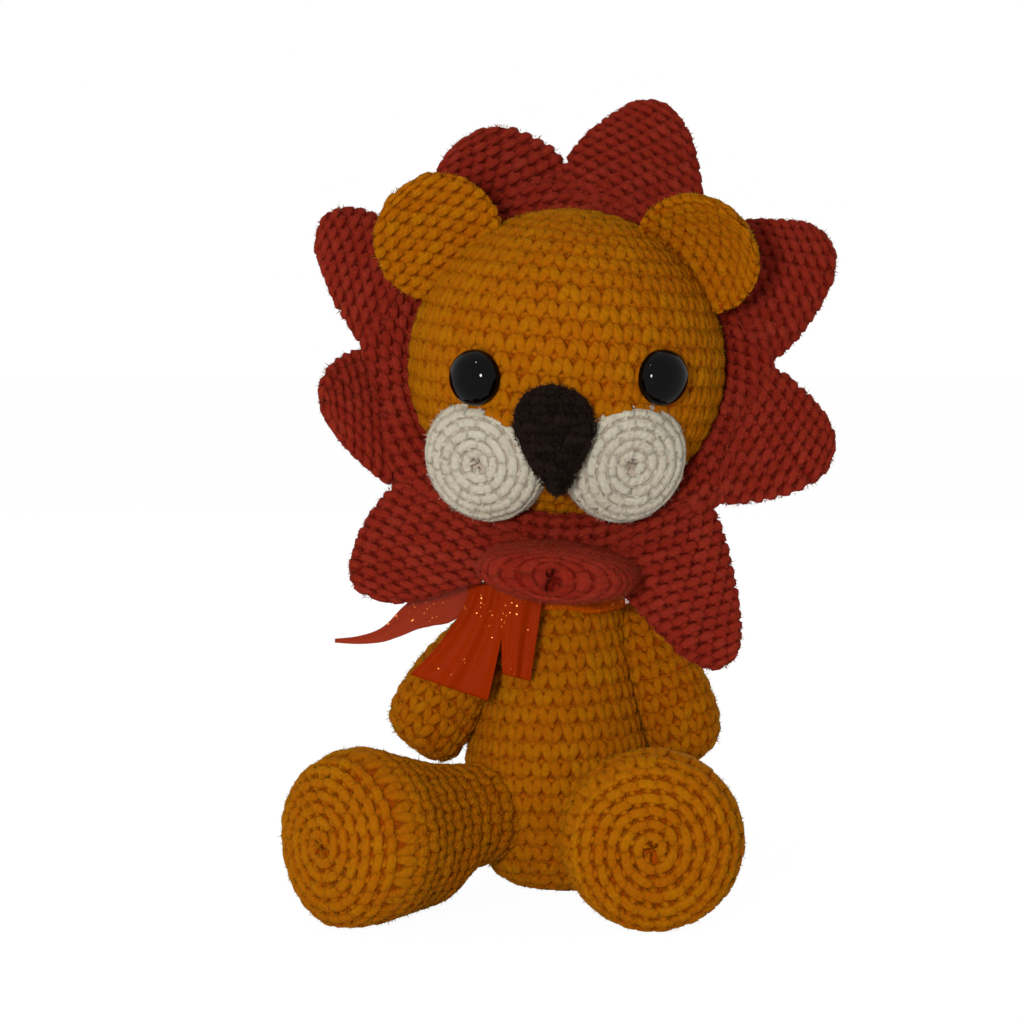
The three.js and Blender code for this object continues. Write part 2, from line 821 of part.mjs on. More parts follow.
// One ribbon end: a strip from the knot to its far edge, turning and rippling on its way.
// start is its top middle, fall its run, rootAcross and endAcross its two widths.
function ribbonEnd({ start, fall, rootAcross, endAcross, waves }) {
  const lengthSteps = 6;
  const widthSteps = 6;
  const strip = new THREE.BoxGeometry(1, 1, 1, widthSteps, 1, lengthSteps);
  const spot = strip.attributes.position;
  for (let i = 0; i < spot.count; i++) {
    const side = spot.getX(i);
    const down = spot.getZ(i) + 1 / 2;
    const across = rootAcross.clone().lerp(endAcross, down);
    const front = new THREE.Vector3().crossVectors(across, fall).normalize();
    const ripple = foldDepth * down * Math.cos(side * waves * radians(360));
    const place = start.clone().addScaledVector(fall, down).addScaledVector(across, side);
    place.addScaledVector(front, -spot.getY(i) * ribbonThickness - ripple);
    spot.setXYZ(i, place.x, place.y, place.z);
  }
  return toSolid(strip);
}

// Ribbon: band round the neck, knot on its front right, three ends
function addRibbon(group) {
  const slab = new THREE.BoxGeometry(overrun * 2, overrun * 2, ribbonBandHeight);
  const level = toSolid(slab.translate(0, 0, ribbonBandMiddle));
  const band = bodyForm(gap + ribbonThickness).subtract(bodyForm(gap)).intersect(level);
  addPiece(group, "ribbon_band", largest(band), organza());

  const reach = neckRadius + ribbonThickness * 2 + knotDepth / 2;
  const turn = radians(knotTurn);
  const knotX = -reach * Math.sin(turn);
  const knotY = -reach * Math.cos(turn);
  const knotForm = (grow) => {
    const knot = new THREE.SphereGeometry(1, smallSides, tubeSides);
    knot.scale(knotWidth / 2 + grow, knotDepth / 2 + grow, knotHeight / 2 + grow);
    return toSolid(knot.rotateZ(-turn).translate(knotX, knotY, ribbonBandMiddle));
  };
  const clearBand = bodyForm(gap * 2 + ribbonThickness);
  const clearKnot = knotForm(gap);
  addPiece(group, "ribbon_knot", largest(knotForm(0).subtract(clearBand)), organza());

  const wideSideShare = -0.33;
  const wideRootShare = 0.5;
  const wideSlantShare = -0.33;
  const wideWaves = 1.5;
  const shortSideShare = 0.25;
  const shortTipShare = 0.68;
  const shortWaves = 1;
  const sideStartShare = -0.42;
  const sideRootShare = 0.62;
  const sideWaves = 0.5;
  const front = knotY - knotDepth / 4;
  const knotLowShare = 0.4;
  const knotLow = ribbonBandMiddle - knotHeight * knotLowShare;
  const wide = ribbonEnd({
    start: new THREE.Vector3(knotX + knotWidth * wideSideShare, front, knotLow),
    fall: new THREE.Vector3(-wideEndOutward, -foldDepth, -wideEndDrop),
    rootAcross: new THREE.Vector3(wideEndWidth * wideRootShare, -foldDepth, 0),
    endAcross: new THREE.Vector3(wideEndWidth, -foldDepth, wideEndWidth * wideSlantShare),
    waves: wideWaves,
  });
  const short = ribbonEnd({
    start: new THREE.Vector3(knotX + knotWidth * shortSideShare, front - foldDepth, knotLow),
    fall: new THREE.Vector3(-foldDepth / 2, -foldDepth, -shortEndDrop),
    rootAcross: new THREE.Vector3(shortEndWidth, 0, 0),
    endAcross: new THREE.Vector3(shortEndWidth * shortTipShare, 0, -foldDepth),
    waves: shortWaves,
  });
  const sideways = ribbonEnd({
    start: new THREE.Vector3(knotX + knotWidth * sideStartShare, knotY, ribbonBandMiddle + foldDepth + gap),
    fall: new THREE.Vector3(-sideEndOutward, -foldDepth, -sideEndDrop),
    rootAcross: new THREE.Vector3(-foldDepth, 0, sideEndWidth * sideRootShare),
    endAcross: new THREE.Vector3(0, sideEndWidth, foldDepth),
    waves: sideWaves,
  });
  const ends = { ribbon_end_wide: wide, ribbon_end_short: short, ribbon_end_side: sideways };
  for (const [name, end] of Object.entries(ends)) {
    addPiece(group, name, largest(end.subtract(clearKnot).subtract(clearBand)), organza());
  }
}

const lion = new THREE.Group();
lion.name = "lion";
const torso = buildBody();
addRibbon(torso);
lion.add(torso, buildHead(), buildTail());
Object.entries(limbs).forEach(([name, limb]) => lion.add(buildLimb(name, limb)));

export default lion;
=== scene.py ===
"""Looks of a seated crocheted lion toy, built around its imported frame.

Sizes are in millimetres and are made metres where a mesh is written. The lion
faces -Y, so its own left side is +X.
"""

import logging
import math
from dataclasses import dataclass, field
from enum import Enum
from typing import Callable, Sequence

import bpy
import numpy as np
from mathutils import Matrix, Vector


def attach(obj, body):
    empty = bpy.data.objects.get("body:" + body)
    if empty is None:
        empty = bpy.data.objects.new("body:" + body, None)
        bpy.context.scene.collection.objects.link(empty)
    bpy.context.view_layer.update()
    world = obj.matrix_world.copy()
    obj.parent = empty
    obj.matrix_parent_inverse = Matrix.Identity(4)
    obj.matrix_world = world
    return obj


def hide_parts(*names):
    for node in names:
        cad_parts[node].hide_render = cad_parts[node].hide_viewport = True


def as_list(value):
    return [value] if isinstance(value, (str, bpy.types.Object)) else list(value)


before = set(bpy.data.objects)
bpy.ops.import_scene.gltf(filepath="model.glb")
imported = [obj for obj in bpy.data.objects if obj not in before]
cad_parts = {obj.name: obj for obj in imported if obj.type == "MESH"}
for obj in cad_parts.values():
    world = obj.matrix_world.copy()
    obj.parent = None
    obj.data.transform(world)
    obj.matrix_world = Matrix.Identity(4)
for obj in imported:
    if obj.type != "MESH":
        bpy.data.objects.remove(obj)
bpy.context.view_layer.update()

log = logging.getLogger("lion")

MM = 0.001
FULL_TURN = 2.0 * math.pi
UV_NAME = "twist"
WHITE = (1.0, 1.0, 1.0, 1.0)
# Points drawn between two knots of a smooth line
LINE_STEPS = 24
# Added to a length that may be zero, so that it can be divided by
NO_LENGTH = 1e-12
# Of acrylic, and close to that of the washers' polyethylene
ACRYLIC_IOR = 1.49

Points = np.ndarray


# Colours and nodes


def linear(hex_colour: str) -> tuple[float, float, float, float]:
    """Turns an sRGB hex colour into the linear values a shader takes.

    Args:
        hex_colour: A colour such as "#9c5a08".

    Returns:
        Red, green, blue and an alpha of 1.
    """
    parts = [int(hex_colour[i : i + 2], 16) / 255 for i in (1, 3, 5)]
    flat = [c / 12.92 if c <= 0.04045 else ((c + 0.055) / 1.055) ** 2.4 for c in parts]
    return (flat[0], flat[1], flat[2], 1.0)


def add_node(tree: bpy.types.NodeTree, kind: str, links: dict | None = None, **settings) -> bpy.types.Node:
    """Adds a node, with its settings, and links or sets its inputs.

    Args:
        tree: The node tree that gets the node.
        kind: The node's type name.
        links: Input name or number, to an output socket or a plain value.
        settings: Properties of the node itself.

    Returns:
        The new node.
    """
    node = tree.nodes.new(kind)
    for name, value in settings.items():
        setattr(node, name, value)
    for name, source in (links or {}).items():
        if isinstance(source, bpy.types.NodeSocket):
            tree.links.new(source, node.inputs[name])
        else:
            node.inputs[name].default_value = source
    return node


def new_object(name: str, data: bpy.types.ID) -> bpy.types.Object:
    """Makes an object of some data and links it to the scene.

    Args:
        name: The object's name.
        data: Its mesh, lamp or camera.

    Returns:
        The object.
    """
    made = bpy.data.objects.new(name, data)
    bpy.context.scene.collection.objects.link(made)
    return made


def new_material(name: str) -> tuple[bpy.types.Material, bpy.types.NodeTree, bpy.types.Node]:
    """Makes a material whose tree holds only an output node.

    Args:
        name: The material's name.

    Returns:
        The material, its tree and the output node.
    """
    material = bpy.data.materials.new(name)
    material.use_nodes = True
    tree = material.node_tree
    tree.nodes.clear()
    return material, tree, tree.nodes.new("ShaderNodeOutputMaterial")


@dataclass(frozen=True)
class AcrylicYarn:
    """Soft acrylic yarn of several plies, worked in single crochet.

    It is matt with a faint fuzz. Where strands dive, its colour is painted darker and redder: painted shade
    in the dips.
    """

    name: str
    slot: str
    strand: str
    # Painted shade: the darker, redder colour of the dips between strands and of the fabric under them
    deep: str
    pale: str
    ply_depth_mm: float = 0.16
    ply_bump: float = 0.7
    fibre_depth_mm: float = 0.22
    fibre_bump: float = 0.6
    fibre_mm: float = 0.5
    mottle_mm: float = 1.3
    mottle: float = 0.7
    blotch_mm: float = 9.0
    roughness: float = 0.95
    specular: float = 0.04
    soft: float = 0.35
    soft_mm: float = 1.0
    fuzz: float = 0.25
    fuzz_roughness: float = 0.6

    def material(self) -> bpy.types.Material:
        """Builds the yarn's material; it reads the stitches' own UV map and attributes.

        Returns:
            The material.
        """
        material, tree, output = new_material(self.name)
        uv = add_node(tree, "ShaderNodeUVMap", uv_map=UV_NAME)
        spot = add_node(tree, "ShaderNodeTexCoord").outputs["Object"]
        depth, shade = (
            add_node(tree, "ShaderNodeAttribute", attribute_name=name).outputs["Fac"]
            for name in ("depth", "shade")
        )
        # One unit of U is one ply, and the wave's bands repeat every pi / 10
        plies = add_node(
            tree, "ShaderNodeTexWave", {"Vector": uv.outputs[0], "Scale": math.pi / 10, "Distortion": 0.0},
            bands_direction="X",
        )
        fibres, blotches, mottles = (
            add_node(
                tree, "ShaderNodeTexNoise", {"Vector": spot, "Scale": 1 / (size * MM), "Detail": detail}
            ).outputs["Fac"]
            for size, detail in ((self.fibre_mm, 3.0), (self.blotch_mm, 1.0), (self.mottle_mm, 3.0))
        )
        vary = add_node(tree, "ShaderNodeMath", {0: shade, 1: blotches}, operation="MULTIPLY")
        centred = {0: mottles, 1: self.mottle, 2: -self.mottle / 2}
        shift = add_node(tree, "ShaderNodeMath", centred, operation="MULTIPLY_ADD")
        height = add_node(
            tree, "ShaderNodeMath", {0: depth, 1: shift.outputs[0]}, operation="ADD", use_clamp=True
        )
        # Of a colour mix, inputs 6 and 7 are its two colours and output 2 is its result
        colour = linear(self.pale)
        # The lower a point (its depth, with a random mottle), the more of the deep colour it gets: painted
        # shade in the dips
        for share, low in ((vary, self.strand), (height, self.deep)):
            inputs = {"Factor": share.outputs[0], 6: linear(low), 7: colour}
            colour = add_node(tree, "ShaderNodeMix", inputs, data_type="RGBA").outputs[2]
        ply_bump = add_node(
            tree, "ShaderNodeBump",
            {"Height": plies.outputs["Fac"], "Strength": self.ply_bump, "Distance": self.ply_depth_mm * MM},
        )
        fibre_bump = add_node(
            tree, "ShaderNodeBump",
            {
                "Height": fibres, "Normal": ply_bump.outputs[0],
                "Strength": self.fibre_bump, "Distance": self.fibre_depth_mm * MM,
            },
        )
        shader = add_node(
            tree, "ShaderNodeBsdfPrincipled",
            {
                "Base Color": colour, "Normal": fibre_bump.outputs[0], "Roughness": self.roughness,
                "IOR": ACRYLIC_IOR, "Specular IOR Level": self.specular, "Subsurface Weight": self.soft,
                "Subsurface Radius": (1.0, 1.0, 1.0), "Subsurface Scale": self.soft_mm * MM,
                "Sheen Weight": self.fuzz, "Sheen Roughness": self.fuzz_roughness,
                "Sheen Tint": linear(self.pale),
            },
        )
        tree.links.new(shader.outputs[0], output.inputs[0])
        return material


@dataclass(frozen=True)
class Organza:
    """Sheer nylon ribbon with a fine glitter thread: clear, coloured, folds darken it."""

    name: str = "nylon_organza"
    colour: str = "#8e2500"
    glint: str = "#f08a38"
    see_through: float = 0.1
    roughness: float = 0.5
    specular: float = 0.02
    glint_roughness: float = 0.3
    glint_metal: float = 0.7
    glitter_mm: float = 0.24
    glitter_share: float = 0.89
    cluster_mm: float = 2.2
    cluster_squeeze: float = 0.3
    cluster_share: float = 0.56
    cluster_rise: float = 8.0
    cluster_level_mm: float = 72.0
    weave_mm: float = 0.35
    weave_depth_mm: float = 0.05
    weave_bump: float = 0.4

    def material(self) -> bpy.types.Material:
        """Builds the ribbon's material.

        Returns:
            The material.
        """
        material, tree, output = new_material(self.name)
        spot = add_node(tree, "ShaderNodeTexCoord").outputs["Object"]
        inputs = {"Vector": spot, "Scale": 1 / (self.glitter_mm * MM)}
        specks = add_node(tree, "ShaderNodeTexVoronoi", inputs)
        # The glitter clusters are drawn out downwards along the folds; the glitter thread is real, but its
        # clusters are laid where light catches the folds, as painted glint
        inputs = {"Vector": spot, "Scale": (1.0, 1.0, self.cluster_squeeze)}
        stretched = add_node(tree, "ShaderNodeMapping", inputs)
        clusters, weave = (
            add_node(tree, "ShaderNodeTexNoise", {"Vector": way, "Scale": 1 / (size * MM), "Detail": 2.0})
            for way, size in ((stretched.outputs[0], self.cluster_mm), (spot, self.weave_mm))
        )
        # Most of the glitter is laid high up, above a given level: painted glint where light catches the
        # folds, on a real glitter thread
        axes = add_node(tree, "ShaderNodeSeparateXYZ", {"Vector": spot})
        level = self.cluster_level_mm * MM
        rise = {0: axes.outputs["Z"], 1: self.cluster_rise, 2: -self.cluster_rise * level}
        chain = (
            ("rise", rise, "MULTIPLY_ADD"),
            ("dense", {0: clusters.outputs["Fac"], 1: "rise"}, "ADD"),
            ("near", {0: "dense", 1: self.cluster_share}, "GREATER_THAN"),
            ("chosen", {0: specks.outputs["Color"], 1: self.glitter_share}, "GREATER_THAN"),
            ("speck", {0: "chosen", 1: "near"}, "MULTIPLY"),
        )
        found: dict[str, bpy.types.NodeSocket] = {}
        for name, inputs, operation in chain:
            linked = {at: found[value] if isinstance(value, str) else value for at, value in inputs.items()}
            found[name] = add_node(tree, "ShaderNodeMath", linked, operation=operation).outputs[0]
        bump = add_node(
            tree, "ShaderNodeBump",
            {
                "Height": weave.outputs["Fac"], "Strength": self.weave_bump,
                "Distance": self.weave_depth_mm * MM,
            },
        )
        cloth = add_node(
            tree, "ShaderNodeBsdfPrincipled",
            {
                "Base Color": linear(self.colour), "Roughness": self.roughness,
                "Specular IOR Level": self.specular, "Normal": bump.outputs[0],
                "Alpha": 1.0 - self.see_through,
            },
        )
        spark = add_node(
            tree, "ShaderNodeBsdfPrincipled",
            {
                "Base Color": linear(self.glint), "Roughness": self.glint_roughness,
                "Metallic": self.glint_metal,
            },
        )
        mix = add_node(
            tree, "ShaderNodeMixShader", {0: found["speck"], 1: cloth.outputs[0], 2: spark.outputs[0]}
        )
        tree.links.new(mix.outputs[0], output.inputs[0])
        return material


@dataclass(frozen=True)
class PolishedPlastic:
    """Moulded plastic, polished or plain, with faint moulding waves."""

    name: str
    colour: str
    roughness: float
    specular: float = 0.5
    wave_mm: float = 3.0
    wave_depth_mm: float = 0.02
    wave_bump: float = 0.15

    def material(self) -> bpy.types.Material:
        """Builds the plastic's material.

        Returns:
            The material.
        """
        material, tree, output = new_material(self.name)
        spot = add_node(tree, "ShaderNodeTexCoord").outputs["Object"]
        waves = add_node(
            tree, "ShaderNodeTexNoise", {"Vector": spot, "Scale": 1 / (self.wave_mm * MM), "Detail": 1.0}
        )
        bump = add_node(
            tree, "ShaderNodeBump",
            {
                "Height": waves.outputs["Fac"], "Strength": self.wave_bump,
                "Distance": self.wave_depth_mm * MM,
            },
        )
        shader = add_node(
            tree, "ShaderNodeBsdfPrincipled",
            {
                "Base Color": linear(self.colour), "Roughness": self.roughness, "IOR": ACRYLIC_IOR,
                "Specular IOR Level": self.specular, "Normal": bump.outputs[0],
            },
        )
        tree.links.new(shader.outputs[0], output.inputs[0])
        return material


# The second colour of each yarn is painted shade, for the dips between strands
YELLOW_YARN = AcrylicYarn("acrylic_yarn_yellow", "yellow_yarn", "#9a5602", "#903700", "#a26803")
RED_YARN = AcrylicYarn("acrylic_yarn_red", "red_yarn", "#7c2013", "#681008", "#8a2e1f", blotch_mm=12.0)
CREAM_YARN = AcrylicYarn("acrylic_yarn_cream", "cream_yarn", "#b4ae9b", "#ae9c88", "#bab5a3")
BROWN_YARN = AcrylicYarn("acrylic_yarn_brown", "brown_yarn", "#1c1410", "#0f0a08", "#241a16", specular=0.02)
EYE_PLASTIC = PolishedPlastic("polished_acrylic_black", "#020202", 0.04, specular=0.1)
WASHER_PLASTIC = PolishedPlastic("moulded_polyethylene_white", "#dedede", 0.5)
RIBBON_CLOTH = Organza()
# Painted light in part: one sheer layer over the yellow is lighter than the folded ribbon, and its colour
# is lighter still to brighten the band where the mane shades it
SHEER_CLOTH = Organza("nylon_organza_single_painted_light", "#d85800", see_through=0.6)


# Surfaces that the stitches are laid on


def smooth_line(points: Sequence[Sequence[float]], count: int) -> Points:
    """A smooth line through points, at equal steps of its length.

    Args:
        points: The points, in two or three dimensions.
        count: How many points the result has.

    Returns:
        The line's points, one a row.
    """
    knots = np.asarray(points, float)
    padded = np.vstack([knots[0], knots, knots[-1]])
    steps = np.linspace(0, 1, LINE_STEPS, endpoint=False)[:, None]
    parts = []
    for a, b, c, d in zip(padded, padded[1:], padded[2:], padded[3:]):
        parts.append(
            0.5
            * (
                2 * b
                + (c - a) * steps
                + (2 * a - 5 * b + 4 * c - d) * steps**2
                + (3 * b - a - 3 * c + d) * steps**3
            )
        )
    line = np.vstack([*parts, knots[-1]])
    return at_equal_steps(line, count)


def round_angles(count: int) -> Points:
    """Angles at equal steps round a full turn, in radians."""
    return np.linspace(0, FULL_TURN, count, endpoint=False)


def unit(vectors: Points) -> Points:
    """The same vectors, one a row, made 1 long."""
    return vectors / np.linalg.norm(vectors, axis=1, keepdims=True)


def outward(normals: Points, away: Points) -> Points:
    """A grid's normals, made 1 long and turned outwards.

    Args:
        normals: The normals, of any length and all turned in or all out.
        away: How each of the grid's points lies from a middle inside it.

    Returns:
        The normals.
    """
    normals = normals / (np.linalg.norm(normals, axis=2, keepdims=True) + NO_LENGTH)
    return -normals if np.sum(normals * away) < 0 else normals


def tube(line: Points, thick: Points, sides: int, flatness: float = 1.0) -> Points:
    """Rings of points round a line, with no point of a ring repeated.

    Args:
        line: The line's points, one a row.
        thick: The half width at each of them.
        sides: Points in a ring.
        flatness: A ring's height, as a share of its width.

    Returns:
        The rings, one a row.
    """
    run = unit(np.gradient(line, axis=0))
    side = unit(np.cross(run, [0.0, 0.0, 1.0]))
    top = np.cross(side, run)
    angle = round_angles(sides)
    return line[:, None] + thick[:, None, None] * (
        np.cos(angle)[None, :, None] * side[:, None]
        + flatness * np.sin(angle)[None, :, None] * top[:, None]
    )


def at_equal_steps(line: Points, count: int) -> Points:
    """The same line again, with count points at equal steps of its length.

    Args:
        line: The line's points, one a row.
        count: How many points the result has.

    Returns:
        The points.
    """
    gaps = np.linalg.norm(np.diff(line, axis=0), axis=1)
    walked = np.concatenate([[0], np.cumsum(gaps)])
    wanted = np.linspace(0, walked[-1], count)
    return np.stack([np.interp(wanted, walked, line[:, k]) for k in range(line.shape[1])], axis=1)


def standing(spot: Sequence[float], way: Sequence[float]) -> Matrix:
    """The place of a form whose +Z is turned to a direction.

    Args:
        spot: Where its origin goes, in mm.
        way: Where its +Z goes, of length 1.

    Returns:
        The placing matrix.
    """
    turn = Vector((0, 0, 1)).rotation_difference(Vector(way))
    return Matrix.Translation(Vector(spot)) @ turn.to_matrix().to_4x4()


def grid_faces(rows: int, columns: int, closed: bool = True) -> Points:
    """The four-sided faces of a grid whose vertices are numbered row by row.

    Args:
        rows: How many strips of faces there are.
        columns: Vertices in each row.
        closed: Whether the columns join up.

    Returns:
        The faces, one a row.
    """
    low = np.arange(rows)[:, None] * columns
    j = np.arange(columns if closed else columns - 1)[None]
    k = (j + 1) % columns
    return np.stack([low + j, low + k, low + columns + k, low + columns + j], 2).reshape(-1, 4)


class Skin:
    """A closed crocheted surface: rings of points from one closed end to the other."""

    def __init__(self, rings: Points) -> None:
        """Takes the rings and works out normals and lengths.

        Args:
            rings: Points in mm, one ring a row, with no point of a ring repeated.
        """
        self.rings = rings
        self.count, self.around = rings.shape[:2]
        along = np.gradient(rings, axis=0)
        round_ = np.roll(rings, -1, axis=1) - np.roll(rings, 1, axis=1)
        normals = np.cross(round_, along)
        for end, inner in ((0, 1), (-1, -2)):
            normals[end] = normals[inner].sum(axis=0)
        self.normals = outward(normals, rings - rings.reshape(-1, 3).mean(axis=0))
        steps = np.linalg.norm(np.diff(rings, axis=0), axis=2).mean(axis=1)
        self.walked = np.concatenate([[0], np.cumsum(steps)])
        self.length = float(self.walked[-1])
        closed = np.concatenate([rings, rings[:, :1]], axis=1)
        self.girth = np.linalg.norm(np.diff(closed, axis=1), axis=2).sum(axis=1)

    def at(self, run: Points, turn: Points, out: Points) -> Points:
        """Points on the surface.

        Args:
            run: Distance from the first end, in mm.
            turn: Way round, in full turns.
            out: Height above the surface, in mm.

        Returns:
            The points, in mm.
        """
        row = np.interp(run, self.walked, np.arange(self.count))
        low = np.clip(row.astype(int), 0, self.count - 2)
        part = (row - low)[:, None]
        column = (turn % 1.0) * self.around
        left = column.astype(int) % self.around
        right = (left + 1) % self.around
        side = (column - np.floor(column))[:, None]

        def blend(grid: Points) -> Points:
            """The grid's value between its four nearest points.

            Args:
                grid: A value for each of the skin's points.

            Returns:
                The value at each wanted place.
            """
            first = grid[low, left] * (1 - side) + grid[low, right] * side
            second = grid[low + 1, left] * (1 - side) + grid[low + 1, right] * side
            return first * (1 - part) + second * part

        return blend(self.rings) + blend(self.normals) * out[:, None]


def even_rings(rings: Points, around: int) -> Points:
    """Spreads each ring's points evenly along it.

    Args:
        rings: The rings, one a row.
        around: Points on each new ring.

    Returns:
        The new rings.
    """
    evened = []
    for ring in rings:
        closed = np.vstack([ring, ring[:1]])
        evened.append(at_equal_steps(closed, around + 1)[:-1])
    return np.stack(evened)


def turned_skin(
    profile: Sequence[Sequence[float]],
    place: Matrix | None = None,
    rows: int = 48,
    around: int = 72,
    bend: Callable[[Points], Points] | None = None,
) -> Skin:
    """A skin turned about +Z from a profile of [radius, height].

    Args:
        profile: Points from the first pole to the last.
        place: Where the form goes, in mm.
        rows: Rings along the profile.
        around: Points on each ring.
        bend: Changes the placed points, such as a pressed side.

    Returns:
        The skin.
    """
    line = smooth_line(profile, rows)
    angle = round_angles(around)
    radius = np.maximum(line[:, 0], 0)[:, None]
    rings = np.stack(
        [radius * np.cos(angle), radius * np.sin(angle), np.repeat(line[:, 1:], around, axis=1)],
        axis=2,
    )
    if place is not None:
        turn = np.array(place.to_3x3())
        rings = rings @ turn.T + np.array(place.translation)
    if bend is not None:
        rings = bend(rings.reshape(-1, 3)).reshape(rings.shape)
    return Skin(rings)


# The single crochet stitch and how it is laid


@dataclass(frozen=True)
class Stitch:
    """One single crochet stitch: two plump legs that part upwards and the loop behind.

    Across runs from -0.5 to 0.5 of the stitch's width, up from 0 to 1 of the row.
    Each point of a strand is [across, up, height in mm, half width in mm].
    """

    width: float = 5.2
    pitch: float = 4.9
    sides: int = 6
    ply_mm: float = 1.5
    plump: float = 1.12
    flatness: float = 0.56
    lift: float = -0.62
    leg: tuple = (
        (0.03, -0.16, -0.60, 1.00),
        (-0.09, 0.14, 0.02, 1.30),
        (-0.21, 0.46, 0.26, 1.48),
        (-0.34, 0.78, 0.08, 1.42),
        (-0.46, 1.08, -0.52, 1.15),
    )
    loop: tuple = ((-0.40, 0.90, -0.55, 1.10), (0.0, 0.93, -0.26, 1.40), (0.40, 0.90, -0.55, 1.10))
    # How the right leg differs from the left one's mirror image
    uneven: tuple = (0.01, 0.0, -0.08, 0.0)

    def strands(self) -> list[tuple[Points, int]]:
        """The stitch's strands: each one's points and the sides of its tube.

        Returns:
            The points and the number of sides, strand by strand.
        """
        left = np.array(self.leg)
        right = left * [-1, 1, 1, 1] + self.uneven
        return [(left, self.sides), (right, self.sides), (np.array(self.loop), 4)]

    def strand(self, path: Points, sides: int, start: int) -> tuple[Points, Points, Points]:
        """A strand's tube along a path.

        Args:
            path: Its points, as in the class's words.
            sides: Faces round the tube.
            start: The number its first vertex gets.

        Returns:
            Vertices, four-sided faces and the faces' UV corners.
        """
        spot = path[:, :3] * [self.width, self.pitch, 1.0]
        walked = np.concatenate([[0], np.cumsum(np.linalg.norm(np.diff(spot, axis=0), axis=1))])
        verts = tube(spot, self.plump * path[:, 3], sides, self.flatness).reshape(-1, 3)
        faces, corners = [], []
        for i in range(len(path) - 1):
            for j in range(sides):
                k = (j + 1) % sides
                quad = (i * sides + j, i * sides + k, (i + 1) * sides + k, (i + 1) * sides + j)
                faces.append(quad)
                low, high = walked[i] / self.ply_mm, walked[i + 1] / self.ply_mm
                first, second = 2 * j / sides, 2 * (j + 1) / sides
                corners.append(
                    ((low + first, low), (low + second, low), (high + second, high), (high + first, high))
                )
        last = (len(path) - 1) * sides
        for base, flip in ((0, True), (last, False)):
            for j in range(0, sides - 2, 2):
                quad = [base, base + j + 1, base + j + 2, base + (j + 3) % sides]
                faces.append(tuple(quad[::-1]) if flip else tuple(quad))
                corners.append(((0, 0),) * 4)
        return verts, np.array(faces) + start, np.array(corners)

    def template(self) -> tuple[Points, Points, Points]:
        """The stitch's vertices, in widths, rows and mm, with its faces and UV corners.

        Returns:
            Vertices, four-sided faces and UV corners.
        """
        parts, start = [], 0
        for path, sides in self.strands():
            parts.append(self.strand(path, sides, start))
            start += len(parts[-1][0])
        verts = np.vstack([p[0] for p in parts]) / [self.width, self.pitch, 1.0]
        return verts, np.vstack([p[1] for p in parts]), np.vstack([p[2] for p in parts])


@dataclass(frozen=True)
class RidgeStitch(Stitch):
    """A stitch of a ridged fabric: a rounded rope along the row over a short leg."""

    leg: tuple = (
        (-0.62, 0.34, -0.40, 1.05),
        (-0.32, 0.42, 0.08, 1.32),
        (0.00, 0.52, 0.26, 1.45),
        (0.32, 0.64, 0.08, 1.32),
        (0.62, 0.70, -0.40, 1.05),
    )
    loop: tuple = ((-0.14, -0.35, -0.55, 1.30), (0.0, 0.10, -0.12, 1.50), (0.12, 0.85, -0.40, 1.30))

    def strands(self) -> list[tuple[Points, int]]:
        """The rope and the leg below it."""
        return [(np.array(self.leg), self.sides), (np.array(self.loop), 4)]


# A rope's points with its ends less sunk, so that one stitch runs into the next
SOFT_ROPE = (
    (-0.62, 0.38, -0.18, 1.20), (-0.32, 0.44, 0.08, 1.34), (0.00, 0.52, 0.22, 1.42),
    (0.32, 0.60, 0.08, 1.34), (0.62, 0.66, -0.18, 1.20),
)
EVEN_ROPE = (
    (-0.62, 0.43, 0.02, 1.30), (-0.32, 0.47, 0.14, 1.40), (0.00, 0.51, 0.20, 1.45),
    (0.32, 0.55, 0.14, 1.40), (0.62, 0.59, 0.02, 1.30),
)


